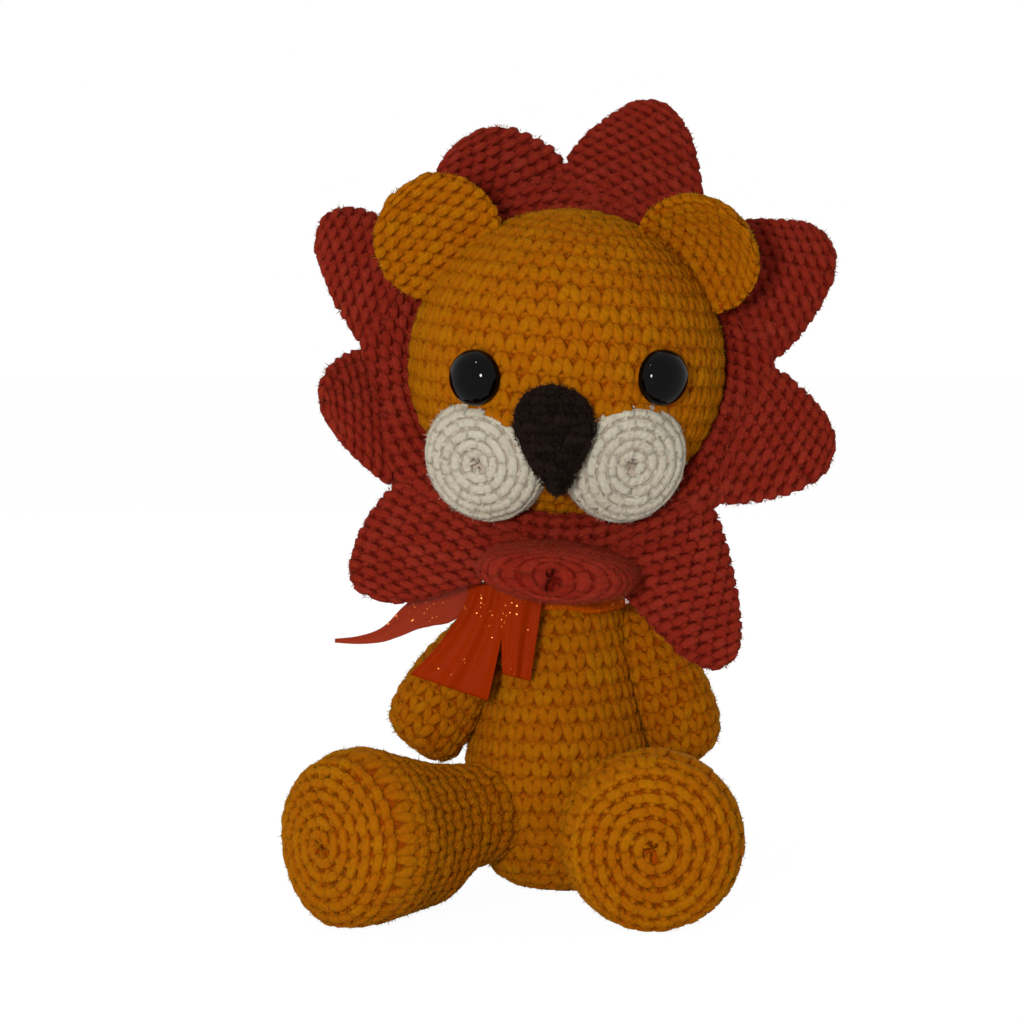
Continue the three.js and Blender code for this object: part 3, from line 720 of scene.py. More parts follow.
@dataclass
class Crochet:
    """How a cover's stitches are laid: their pitch, width and evenness."""

    pitch: float = 4.9
    height: float = 1.0
    open_pole: float = 0.5
    end_pitch: float | None = None
    end_reach: float = 0.0
    end_stitch: Stitch | None = None
    start_turn: float = 0.0
    spiral: bool = True
    jitter: float = 0.025
    sink: float = 0.65
    skew: float = 0.0
    stitch: Stitch = field(default_factory=Stitch)
    # Where a wider row follows a narrow one, it starts a share of its height lower
    narrow: float = 0.9
    lowered: float = 0.4
    round_overlap: float = 0.5
    # Small unevenness of a stitch's height, as a share and in mm
    height_play: float = 2.0
    lift_play_mm: float = 2.5
    fewest_stitches: int = 5
    # Up to this share of a first row's height, nothing sinks more than this
    first_share: float = 0.35
    first_sink_mm: float = 0.3
    # The height that counts as deepest, and from there to the one that counts as pale; the depth this gives
    # sets the yarn's painted shade
    deepest_mm: float = -0.7
    pale_rise_mm: float = 1.8
    # How far from a pole the fabric sinks, in widths of its opening, and how deep, in halves of it
    pole_reach: float = 1.6
    pole_sink: float = 2.5

    def row_edges(self, length: float) -> Points:
        """Where each row starts, and the last ends, in mm from the first pole.

        Args:
            length: The skin's length, in mm.

        Returns:
            The edges, one more than there are rows.
        """
        edges, run = [self.open_pole], self.open_pole
        while run < length:
            near_end = self.end_pitch is not None and run < self.end_reach
            run += self.end_pitch if near_end else self.pitch
            edges.append(run)
        edges = np.array(edges)
        return edges[0] + (edges - edges[0]) * (length - edges[0]) / (edges[-1] - edges[0])

    def lay(self, skin: Skin, random: np.random.Generator) -> tuple[Points, Points, Points, Points, Points]:
        """Lays stitches over a skin.

        Args:
            skin: The surface.
            random: The source of the small unevenness.

        Returns:
            Vertices in mm, faces, UV corners, depth and shade.
        """
        edges = self.row_edges(skin.length)
        shift = self.start_turn
        rounds: dict[Stitch, list[Points]] = {}
        for row, (low, high) in enumerate(zip(edges[:-1], edges[1:])):
            near_end = self.end_stitch is not None and low < self.end_reach
            stitch = self.end_stitch if near_end else self.stitch
            if not near_end and row and low - edges[row - 1] < self.narrow * (high - low):
                low -= self.lowered * (high - low)
            girth = np.interp((low + high) / 2, skin.walked, skin.girth)
            count = max(self.fewest_stitches, round(girth / stitch.width))
            order = np.arange(count) / count
            stretch = 1 + self.round_overlap / count
            climb = (high - low) * (order if self.spiral else 0 * order)
            columns = [shift + order * stretch, low + climb]
            columns += [np.full(count, value) for value in (stretch / count, high - low, row)]
            rounds.setdefault(stitch, []).append(np.stack(columns, axis=1))
            shift += stretch
        parts = [self.tile(stitch, np.vstack(group), skin, random) for stitch, group in rounds.items()]
        first = np.cumsum([0, *[len(part[0]) for part in parts]])
        faces = [part[1] + start for part, start in zip(parts, first)]
        joined = [np.concatenate([part[i] for part in parts]) for i in (0, 2, 3, 4)]
        return joined[0], np.concatenate(faces), joined[1], joined[2], joined[3]

    def tile(
        self, stitch: Stitch, spots: Points, skin: Skin, random: np.random.Generator
    ) -> tuple[Points, Points, Points, Points, Points]:
        """Repeats one stitch over its spots.

        Args:
            stitch: The stitch.
            spots: For each one its turn, start in mm, width in turns, height in mm and row.
            skin: The surface.
            random: The source of the small unevenness.

        Returns:
            Vertices in mm, faces, UV corners, depth and shade.
        """
        verts, faces, corners = stitch.template()
        turn, start, width, height, row = (column[:, None] for column in spots.T)
        total = len(spots)
        loose = random.normal(0, 1, (total, 4)) * self.jitter
        x = (verts[None, :, 0] * (1 + loose[:, 3:4])) + loose[:, 0:1]
        y = verts[None, :, 1] + loose[:, 1:2]
        z = verts[None, :, 2] * self.height * (1 + self.height_play * loose[:, 3:4])
        z = z + self.lift_play_mm * loose[:, 2:3]
        first = (row == 0) & (y < self.first_share)
        z = np.where(first, np.maximum(z, -self.first_sink_mm), z) + stitch.lift
        way = turn + x * width
        lean = self.skew * np.cos(way * FULL_TURN) * np.sin(math.pi * start / skin.length)
        run = np.clip(start + y * height + lean, 0, skin.length)
        laid = skin.at(run.ravel(), way.ravel(), z.ravel())
        steps = np.arange(total)[:, None, None] * len(verts)
        all_faces = (faces[None] + steps).reshape(-1, 4)
        all_corners = np.tile(corners[None], (total, 1, 1, 1)).reshape(-1, 4, 2)
        # Lower points get a lower depth, which the yarn paints in its darker colour: painted shade
        depth = np.clip((z.ravel() - stitch.lift - self.deepest_mm) / self.pale_rise_mm, 0, 1)
        shade = np.repeat(random.random(total), len(verts))
        return laid, all_faces, all_corners, depth, shade

    def under(self, skin: Skin) -> tuple[Points, tuple[Points, Points]]:
        """The closed fabric under the strands: its vertices in mm, and its faces.

        Args:
            skin: The surface.

        Returns:
            The vertices, and the four-sided and three-sided faces.
        """
        near_pole = np.clip(self.pole_reach - skin.walked / max(2 * self.open_pole, 0.1), 0, 1)
        sink = self.sink + self.pole_sink * self.open_pole * near_pole
        inner = skin.rings - skin.normals * sink[:, None, None]
        poles = inner[[0, -1]].mean(axis=1)
        verts = np.vstack([inner[1:-1].reshape(-1, 3), poles])
        rings, around = skin.count - 2, skin.around
        caps = []
        for pole, ring in ((rings * around, 0), (rings * around + 1, rings - 1)):
            for j in range(around):
                k = (j + 1) % around
                tri = (pole, ring * around + k, ring * around + j)
                caps.append(tri if ring == 0 else tri[::-1])
        return verts, (grid_faces(rings - 1, around), np.array(caps))


class MeshKit:
    """Writes meshes from arrays."""

    @staticmethod
    def write(
        name: str,
        verts: Points,
        quads: Points,
        tris: Points,
        corners: Points,
        depth: Points,
        shade: Points,
    ) -> bpy.types.Object:
        """Writes one smooth mesh object with its UV map and attributes.

        Args:
            name: The object's name.
            verts: Vertices in mm.
            quads: Four-sided faces.
            tris: Three-sided faces.
            corners: UV corners of the last quads; the others get zero.
            depth: How far out each vertex lies, from 0 to 1; the yarn paints low depth darker, as painted
                shade.
            shade: Each vertex's own tone, from 0 to 1.

        Returns:
            The object, linked to the scene.
        """
        mesh = bpy.data.meshes.new(name)
        mesh.vertices.add(len(verts))
        mesh.vertices.foreach_set("co", (verts * MM).astype(np.float32).ravel())
        loops = np.concatenate([tris.ravel(), quads.ravel()])
        starts = np.concatenate([np.arange(len(tris)) * 3, len(tris) * 3 + np.arange(len(quads)) * 4])
        mesh.loops.add(len(loops))
        mesh.loops.foreach_set("vertex_index", loops.astype(np.int32))
        mesh.polygons.add(len(starts))
        mesh.polygons.foreach_set("loop_start", starts.astype(np.int32))
        mesh.polygons.foreach_set("use_smooth", np.ones(len(starts), bool))
        layer = mesh.uv_layers.new(name=UV_NAME)
        flat = np.zeros((len(loops), 2), np.float32)
        flat[len(loops) - corners.shape[0] * 4 :] = corners.reshape(-1, 2)
        layer.data.foreach_set("uv", flat.ravel())
        for attribute, values in (("depth", depth), ("shade", shade)):
            made = mesh.attributes.new(attribute, "FLOAT", "POINT")
            made.data.foreach_set("value", values.astype(np.float32))
        mesh.update(calc_edges=True)
        mesh.validate()
        return new_object(name, mesh)


@dataclass
class Cover:
    """One crocheted cover: its skin, its stitches and what it stands for."""

    name: str
    skin: Skin
    crochet: Crochet
    finish: AcrylicYarn
    nodes: tuple[str, ...]
    body: str
    fill: float = 0.7
    seed: int = 1
    settle: Callable[[Points], Points] | None = None
    fuzz: float = 1.6
    # A loose fibre's foot, tip, wander and thickness, in mm
    fibre_foot: float = -0.2
    fibre_tip: tuple[float, float] = (0.1, 0.6)
    fibre_wander: float = 0.4
    fibre_thick: float = 0.1
    # The depth and random shade of the fabric under the strands; its low depth paints it in the yarn's
    # darker colour, painted shade between the strands
    under_depth: float = 0.1
    under_shade: float = 0.3

    def fibres(self, random: np.random.Generator) -> tuple[Points, Points]:
        """Loose fibres that cross the stitches: their vertices in mm, and their faces.

        Args:
            random: The source of their places.

        Returns:
            The vertices and the three-sided faces.
        """
        skin = self.skin
        area = np.diff(skin.walked) * (skin.girth[1:] + skin.girth[:-1]) / 2
        count = int(area.sum() * self.fuzz)
        passed = np.concatenate([[0], np.cumsum(area)])
        run = np.interp(random.random(count) * area.sum(), passed, skin.walked)
        turn = random.random(count)
        foot = skin.at(run, turn, np.full(count, self.fibre_foot))
        tip = skin.at(run, turn, random.uniform(*self.fibre_tip, count))
        tip = tip + random.normal(0, self.fibre_wander, foot.shape)
        thick = random.normal(0, self.fibre_thick, (count, 3, 3))
        verts = np.concatenate([foot[:, None] + thick, tip[:, None]], axis=1).reshape(-1, 3)
        sides = np.array([(0, 1, 3), (1, 2, 3), (2, 0, 3), (0, 2, 1)])
        return verts, (np.arange(count)[:, None, None] * 4 + sides).reshape(-1, 3)

    def build(self, materials: dict[str, bpy.types.Material]) -> bpy.types.Object:
        """Makes the cover's mesh, dresses it and ties it to its body.

        Args:
            materials: The finishes' materials by name.

        Returns:
            The cover's object.
        """
        random = np.random.default_rng(self.seed)
        laid, faces, corners, depth, shade = self.crochet.lay(self.skin, random)
        under, (quads, tris) = self.crochet.under(self.skin)
        loose, ends = self.fibres(random)
        tris = np.vstack([tris, ends + len(under) + len(laid)])
        verts = np.vstack([under, laid, loose])
        if self.settle is not None:
            verts = self.settle(verts)
        made = MeshKit.write(
            self.name,
            verts,
            np.vstack([quads, faces + len(under)]),
            tris,
            corners,
            np.concatenate([np.full(len(under), self.under_depth), depth, np.ones(len(loose))]),
            np.concatenate([
                np.full(len(under), self.under_shade), shade, np.repeat(random.random(len(loose) // 4), 4),
            ]),
        )
        made.data.materials.append(materials[self.finish.name])
        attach(made, self.body)
        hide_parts(*self.nodes)
        log.info("%s: %d faces", self.name, len(faces))
        return made


# Sizes shared with the frame, in mm


@dataclass(frozen=True)
class HeadBall:
    """The head's ball."""

    centre: tuple[float, float, float] = (1.0, -2.0, 135.5)
    radius: float = 40.6


HEAD = HeadBall()
HEAD_CENTRE = np.array(HEAD.centre)
BODY_HEIGHT = 98.5
BODY_RADIUS = 25.0
NECK_RADIUS = 15.0
BODY_SHARES = (
    (0.34, 0.0), (0.6, 0.02), (0.77, 0.058), (0.88, 0.11), (0.97, 0.195), (1.0, 0.29),
    (0.975, 0.38), (0.905, 0.46), (0.82, 0.56), (0.735, 0.655), (0.675, 0.735),
)

NECK_SHARES = ((1.04, 0.8), (1.0, 0.88), (0.9, 0.965), (0.0, 0.975))


def body_profile() -> list[list[float]]:
    """The body's outline, from the middle of its base to the top of its neck.

    Returns:
        The outline's points as [radius, height], in mm.
    """
    belly = [[r * BODY_RADIUS, h * BODY_HEIGHT] for r, h in BODY_SHARES]
    neck = [[r * NECK_RADIUS, h * BODY_HEIGHT] for r, h in NECK_SHARES]
    return [[0.0, 0.0], *belly, *neck]


def on_floor(points: Points) -> Points:
    """Keeps points on or above the floor, where the toy's weight flattens it.

    Args:
        points: Points in mm, one a row.

    Returns:
        The points, none of them below the floor.
    """
    points = points.copy()
    points[:, 2] = np.maximum(points[:, 2], 0.0)
    return points


def pressed_to_body(
    pivot: Points, root: float, clear: float = 0.4, ease: float = 4.0
) -> Callable[[Points], Points]:
    """A limb's side flattened where it rests against the body.

    Args:
        pivot: Where the limb is sewn on.
        root: Radius of the sewn root, which stays as it is.
        clear: Room left to the body's fabric.
        ease: How far past the root the pressing reaches its full strength, in mm.

    Returns:
        A function that moves points out of the body.
    """
    line = smooth_line(body_profile(), 200)
    keep = line[:, 1].argsort()
    heights, radii = line[keep, 1], line[keep, 0]

    def press(points: Points) -> Points:
        """Moves points out of the body, except at the root.

        Args:
            points: Points of the limb, in mm.

        Returns:
            The points, outside the body.
        """
        points = points.copy()
        reach = np.hypot(points[:, 0], points[:, 1])
        wall = np.interp(points[:, 2], heights, radii) + clear
        away = np.linalg.norm(points - pivot, axis=1)
        weight = np.clip((away - root) / ease, 0, 1)
        lack = np.maximum(wall - reach, 0) * weight
        grown = (reach + lack) / np.maximum(reach, 1e-6)
        points[:, :2] *= grown[:, None]
        return points

    return press


# Sub-assemblies


@dataclass
class Torso:
    """The body's cover, a pear with a flat base."""

    pitch: float = 4.8
    width: float = 5.0
    start_turn: float = 0.1

    def covers(self) -> list[Cover]:
        """The body's cover.

        Returns:
            A list of the one cover.
        """
        stitch = Stitch(width=self.width, pitch=self.pitch)
        crochet = Crochet(pitch=self.pitch, start_turn=self.start_turn, stitch=stitch)
        skin = turned_skin(body_profile(), rows=60, around=96, bend=on_floor)
        nodes = ("body_cover", "body_stuffing")
        return [
            Cover("body", skin, crochet, YELLOW_YARN, nodes, "torso", 0.85, 11, on_floor)
        ]


@dataclass
class Limb:
    """An arm or a leg: a turned form along its own direction from its pivot."""

    name: str
    pivot: tuple[float, float, float]
    direction: tuple[float, float, float]
    root_radius: float
    length: float
    radius: float
    shares: tuple[tuple[float, float], ...]
    crochet: Crochet
    seed: int
    sag: float = 0.0
    curl: float = 0.0
    # Where along the limb the curl and the sag start, how fast the sag grows and ends
    curl_start: float = 0.45
    sag_start: float = 0.18
    sag_growth: float = 0.17
    sag_end: float = 0.1

    def curled(self, press: Callable[[Points], Points]) -> Callable[[Points], Points]:
        """Lets the lower end hang towards the body's middle, before it is pressed.

        Args:
            press: What presses the points afterwards.

        Returns:
            A function that hangs points and then presses them.
        """
        pivot, way = np.array(self.pivot), np.array(self.direction)

        def hang(points: Points) -> Points:
            """Moves points towards the middle, more so further along.

            Args:
                points: Points of the limb, in mm.

            Returns:
                The points, moved.
            """
            points = points.copy()
            share = (points - pivot) @ way / self.length - self.curl_start
            share = np.clip(share / (1 - self.curl_start), 0, 1)
            points[:, 0] -= math.copysign(self.curl, pivot[0]) * share**2
            return press(points)

        return hang

    def sagged(self, press: Callable[[Points], Points]) -> Callable[[Points], Points]:
        """Lets the underside sink to the floor some way behind the sole, before it is pressed.

        Args:
            press: What presses the points afterwards.

        Returns:
            A function that sinks points and then presses them.
        """
        pivot, way = np.array(self.pivot), np.array(self.direction)

        def sink(points: Points) -> Points:
            """Stretches the lower half of each ring down towards the floor.

            Args:
                points: Points of the limb, in mm.

            Returns:
                The points, moved.
            """
            points = points.copy()
            share = (points - pivot) @ way / self.length
            radii, heights = zip(*self.shares)
            outline = np.interp(share, heights, np.array(radii) * self.radius)
            full = pivot[2] / np.maximum(outline, 1.0)
            weight = self.sag * np.clip((share - self.sag_start) / self.sag_growth, 0, 1)
            weight = weight * np.clip((1.0 - share) / self.sag_end, 0, 1)
            drop = np.minimum(points[:, 2] - pivot[2], 0)
            points[:, 2] += drop * np.maximum(full - 1, 0) * weight
            return press(points)

        return sink

    def cover(self) -> Cover:
        """The limb's cover, its rows starting at its far end.

        Returns:
            The cover.
        """
        place = standing(self.pivot, Vector(self.direction).normalized())
        root = [
            [self.root_radius * math.sin(a), -self.root_radius * math.cos(a)]
            for a in np.linspace(0, math.pi / 2, 5)[:-1]
        ]
        profile = [*root, *[[r * self.radius, s * self.length] for r, s in self.shares]]
        press = pressed_to_body(np.array(self.pivot), self.root_radius)
        if self.sag:
            press = self.sagged(press)
        if self.curl:
            press = self.curled(press)
        skin = turned_skin(profile[::-1], place, rows=48, around=64, bend=lambda p: on_floor(press(p)))
        nodes = (self.name + "_cover", self.name + "_stuffing")
        return Cover(
            self.name, skin, self.crochet, YELLOW_YARN, nodes, self.name, 0.8, self.seed,
            on_floor,
        )


ARM_SHARES = (
    (0.66, 0.0), (0.8, 0.16), (0.94, 0.36), (1.0, 0.58), (0.99, 0.77), (0.88, 0.91),
    (0.55, 0.985), (0.0, 1.0),
)
CHEEK_SHARES = ((0, 0.85), (0.25, 0.95), (0.55, 1.0), (0.82, 0.8), (0.97, 0.4), (1.0, 0.0), (0.99, -0.5))
NOSE_SHARES = (
    (0, 0), (0.26, 0.06), (0.54, 0.22), (0.82, 0.42), (1.0, 0.61), (0.93, 0.78), (0.68, 0.91),
    (0.38, 0.98), (0, 1),
)
TUFT_SHARES = ((0, 0), (0.35, 0), (0.8, 0.14), (1, 0.4), (0.8, 0.68), (0.4, 0.9), (0, 1))
LEG_SHARES = (
    (0.584, 0.0), (0.61, 0.14), (0.68, 0.32), (0.83, 0.52), (0.98, 0.68), (1.0, 0.77), (0.93, 0.88),
    (0.76, 0.955), (0.42, 0.99), (0.0, 1.0),
)


@dataclass
class Limbs:
    """Both arms and both legs."""

    arm_splays: tuple[float, float] = (23.0, 35.0)
    arm_curls: tuple[float, float] = (3.0, 2.0)
    arm_lean: float = 3.0
    arm_root: float = 6.1
    arm_length: float = 39.0
    arm_radius: float = 11.2
    shoulders: tuple[float, float] = (19.9, 17.8)
    shoulder: tuple[float, float] = (-3.0, 68.6)
    leg_yaws: tuple[float, float] = (-2.0, 44.0)
    leg_lengths: tuple[float, float] = (47.0, 57.5)
    leg_root: float = 12.2
    leg_sag: float = 0.9
    foot_radii: tuple[float, float] = (22.4, 21.7)
    hips: tuple[tuple[float, float, float], ...] = ((22.8, -12.0, 21.3), (-20.0, -12.5, 21.3))

    def covers(self) -> list[Cover]:
        """The four limbs' covers.

        Returns:
            The covers: the arms first, and the left before the right.
        """
        made = []
        arm_work = Crochet(pitch=4.6, stitch=Stitch(width=4.9, pitch=4.6, plump=0.95))
        sole = RidgeStitch(width=4.2, pitch=3.5, plump=1.08, flatness=0.6, leg=SOFT_ROPE)
        leg_work = Crochet(pitch=4.6, end_pitch=3.5, end_reach=19.0, end_stitch=sole)
        lean = math.radians(self.arm_lean)
        for side, name, x, splay, curl in (
            (1, "left_arm", self.shoulders[0], self.arm_splays[0], self.arm_curls[0]),
            (-1, "right_arm", self.shoulders[1], self.arm_splays[1], self.arm_curls[1]),
        ):
            out = math.radians(splay)
            way = (side * math.sin(out), -math.sin(lean), -math.cos(out) * math.cos(lean))
            size = (self.arm_root, self.arm_length, self.arm_radius)
            pivot = (side * x, *self.shoulder)
            limb = Limb(name, pivot, way, *size, ARM_SHARES, arm_work, 20 + side, curl=curl)
            made.append(limb.cover())
        for i, (side, name) in enumerate(((1, "left_leg"), (-1, "right_leg"))):
            turn = math.radians(self.leg_yaws[i])
            way = (side * math.sin(turn), -math.cos(turn), 0.0)
            size = (self.leg_root, self.leg_lengths[i], self.foot_radii[i])
            limb = Limb(name, self.hips[i], way, *size, LEG_SHARES, leg_work, 30 + side, self.leg_sag)
            made.append(limb.cover())
        return made


@dataclass
class Face:
    """Head, cheeks, nose, ears and eyes."""

    cheek_radius: float = 16.0
    cheek_dome: float = 6.5
    cheek_depth: float = 9.5
    cheek_spacing: float = 34.5
    cheek_drop: float = 21.5
    cheek_stand_off: float = 39.0
    muzzle_x: float = -3.2
    nose_size: tuple[float, float, float] = (20.5, 27.5, 12.0)
    nose_drop: float = 16.2
    nose_stand_off: float = 41.5
    nose_shift: float = 0.3
    nose_lean: float = -1.3
    ear_radius: float = 16.6
    ear_thickness: float = 5.6
    ear_cup: float = 6.0
    ear_forward: float = 12.0
    eye_x: float = 22.6
    eye_rise: float = -1.0
    eye_radius: float = 7.0
    eye_dome: float = 4.6
    eye_rim: float = 0.9
    eye_proud: float = 0.3
    post_share: float = 0.21
    post_length: float = 7.0
    rim_angle: float = 40.0
    head_tilt: float = 4.0
    cheek_turn: tuple[float, float, float] = (0.42, -1.0, -0.22)
    cheek_back: float = 0.8

    def head(self) -> Cover:
        """The head's cover, a ball worked from the crown down.

        Returns:
            The cover.
        """
        arc = np.linspace(0, math.pi, 25)
        profile = [[HEAD.radius * math.sin(a), HEAD.radius * math.cos(a)] for a in arc]
        tilt = Matrix.Rotation(math.radians(self.head_tilt), 4, "Y")
        place = Matrix.Translation(Vector(HEAD.centre)) @ tilt
        skin = turned_skin(profile, place, rows=60, around=120)
        nodes = ("head_cover", "head_stuffing")
        crochet = Crochet(pitch=4.9, start_turn=0.3)
        return Cover("head", skin, crochet, YELLOW_YARN, nodes, "head", 0.95, 41)

    def cheek(self, name: str, side: int) -> Cover:
        """One cheek, a disc worked from its middle out.

        Args:
            name: The cheek's and its node's name.
            side: 1 for the left, -1 for the right.

        Returns:
            The cover.
        """
        x = self.muzzle_x + side * self.cheek_spacing / 2
        normal = Vector((side * self.cheek_turn[0], *self.cheek_turn[1:])).normalized()
        reach = self.cheek_stand_off**2 - x**2 - self.cheek_drop**2
        spot = Vector((x, -math.sqrt(reach), -self.cheek_drop)) + Vector(HEAD.centre)
        place = standing(spot, normal)
        profile = [[r * self.cheek_radius, h * self.cheek_dome] for r, h in CHEEK_SHARES]
        back = -self.cheek_depth * self.cheek_back
        profile += [[self.cheek_back * self.cheek_radius, back], [0.0, back]]
        skin = turned_skin(profile, place, rows=40, around=64)
        stitch = RidgeStitch(width=4.4, pitch=3.1, plump=1.06, flatness=0.66, leg=EVEN_ROPE)
        crochet = Crochet(pitch=3.1, height=0.8, sink=0.35, jitter=0.025, stitch=stitch)
        nodes = (name, name + "_stuffing")
        return Cover(name, skin, crochet, CREAM_YARN, nodes, "head", 0.6, 50 + side)

    def nose(self) -> Cover:
        """The nose, a shield worked closely in thin dark yarn.

        Returns:
            The cover.
        """
        width, height, thickness = self.nose_size
        x = self.muzzle_x + self.nose_shift
        root = HEAD_CENTRE + [x, -self.nose_stand_off, -self.nose_drop - height / 2]
        frame_axes = np.array([[width / 2, 0, 0], [self.nose_lean, 0, height], [0, thickness / 2, 0]])
        skin = petal_skin(NOSE_SHARES, root, frame_axes)
        stitch = Stitch(width=3.0, pitch=2.6, plump=0.66)
        crochet = Crochet(pitch=2.6, height=0.6, jitter=0.1, stitch=stitch)
        return Cover("nose", skin, crochet, BROWN_YARN, ("nose",), "head", 0.6, 61, fuzz=3.0)

    def ear(
        self, name: str, degrees: float, reach: float, side_turn: float, cup: float, seed: int
    ) -> Cover:
        """One ear, a flattened pouch cupped forward, its rows running across it.

        Args:
            name: The ear's and its node's name.
            degrees: The way to it from the head's middle, as an angle up from the lion's left.
            reach: How far out its middle lies, in mm.
            side_turn: How far it faces towards +X, as a share of how far it faces forward.
            cup: How far its rim bends forward, in mm.
            seed: What its random draws start from.

        Returns:
            The cover.
        """
        angle = math.radians(degrees)
        outward = np.array([math.cos(angle), 0.0, math.sin(angle)])
        facing = np.array([side_turn, -1.0, -abs(side_turn)])
        facing /= np.linalg.norm(facing)
        across = np.cross(facing, outward)
        across /= np.linalg.norm(across)
        along = np.cross(across, facing)
        middle = HEAD_CENTRE + outward * reach + [0.0, self.ear_cup - self.ear_forward, 0.0]
        steps = np.linspace(0, 1, 13)
        shares = [[math.sqrt(max(1 - (2 * s - 1) ** 2, 0.0)), s] for s in steps]
        size = self.ear_radius
        root = middle - along * size
        axes = np.array([across * size, along * 2 * size, facing * self.ear_thickness / 2])

        def cupped(points: Points) -> Points:
            """Bends the ear's rim forward.

            Args:
                points: Points of the ear, in mm.

            Returns:
                The points, bent.
            """
            away = points - middle
            flat = away - (away @ facing)[:, None] * facing
            return points + facing * (cup * (np.linalg.norm(flat, axis=1) / size) ** 2)[:, None]

        skin = petal_skin(shares, root, axes, bend=cupped)
        crochet = Crochet(pitch=3.1, stitch=RidgeStitch(width=3.9, pitch=3.1))
        return Cover(name, skin, crochet, YELLOW_YARN, (name,), "head", 0.3, seed)

    def covers(self) -> list[Cover]:
        """All the head's yellow, cream and brown covers.

        Returns:
            The six covers.
        """
        return [
            self.head(),
            self.cheek("left_cheek", 1),
            self.cheek("right_cheek", -1),
            self.nose(),
            self.ear("left_ear", degrees=42.0, reach=49.0, side_turn=-0.5, cup=9.5, seed=71),
            self.ear("right_ear", degrees=134.5, reach=47.2, side_turn=0.12, cup=3.0, seed=72),
        ]

    def build_eye(self, name: str, side: int, material: bpy.types.Material) -> bpy.types.Object:
        """A domed safety eye with a thin rim and its post into the head.

        Args:
            name: The eye's and its node's name.
            side: 1 for the left, -1 for the right.
            material: The eye's plastic.

        Returns:
            The eye's object.
        """
        out = np.array([side * self.eye_x, 0.0, self.eye_rise])
        out[1] = -math.sqrt(HEAD.radius**2 - float(out @ out))
        normal = Vector(out).normalized()
        bpy.ops.object.select_all(action="DESELECT")
        base = HEAD.radius + self.eye_proud
        bpy.ops.mesh.primitive_uv_sphere_add(segments=48, ring_count=32, radius=self.eye_radius)
        made = bpy.context.object
        made.name = made.data.name = name
        bpy.ops.object.mode_set(mode="EDIT")
        bpy.ops.mesh.bisect(plane_co=(0, 0, 0), plane_no=(0, 0, 1), clear_inner=True)
        bpy.ops.mesh.select_all(action="SELECT")
        bpy.ops.transform.resize(value=(1, 1, self.eye_dome / self.eye_radius), center_override=(0, 0, 0))
        bpy.ops.transform.translate(value=(0, 0, self.eye_rim))
        bpy.ops.mesh.select_all(action="DESELECT")
        bpy.ops.mesh.select_non_manifold()
        bpy.ops.mesh.extrude_region_move(TRANSFORM_OT_translate={"value": (0, 0, -self.eye_rim)})
        bpy.ops.mesh.extrude_region_move()
        bpy.ops.transform.resize(value=(self.post_share, self.post_share, 1), center_override=(0, 0, 0))
        bpy.ops.mesh.extrude_region_move(TRANSFORM_OT_translate={"value": (0, 0, -self.post_length)})
        bpy.ops.mesh.fill()
        bpy.ops.mesh.select_all(action="SELECT")
        bpy.ops.mesh.normals_make_consistent(inside=False)
        bpy.ops.object.mode_set(mode="OBJECT")
        place = standing(HEAD.centre, normal)
        made.data.transform(Matrix.Scale(MM, 4) @ place @ Matrix.Translation(Vector((0, 0, base))))
        bpy.ops.object.shade_smooth_by_angle(angle=math.radians(self.rim_angle))
        made.data.materials.append(material)
        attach(made, "head")
        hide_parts(name)
        return made


def petal_skin(
    shares: Sequence[Sequence[float]],
    root: Points,
    axes: Points,
    rows: int = 40,
    around: int = 64,
    bow: float = 0.4,
    bend: Callable[[Points], Points] | None = None,
) -> Skin:
    """A flattened form: half widths along its length, its two faces bowed out.

    Args:
        shares: Half width and height along the form, as shares.
        root: Its foot, in mm.
        axes: Vectors across, along and through it.
        rows: Rings along the form.
        around: Points on each ring.
        bow: How soon it thins where it narrows: 0 is not at all, 1 as fast as it narrows.
        bend: Changes the placed points, such as a cup.

    Returns:
        The skin, from its tip to its root.
    """
    line = smooth_line(list(shares)[::-1], rows)
    angle = round_angles(around * 3)
    radius = np.maximum(line[:, 0], 0)[:, None]
    x = radius * np.cos(angle)
    flat = np.sin(angle) * radius**bow
    y = np.repeat(line[:, 1:], len(angle), axis=1)
    rings = root + x[..., None] * axes[0] + y[..., None] * axes[1] + flat[..., None] * axes[2]
    if bend is not None:
        rings = bend(rings.reshape(-1, 3)).reshape(rings.shape)
    return Skin(even_rings(rings, around))


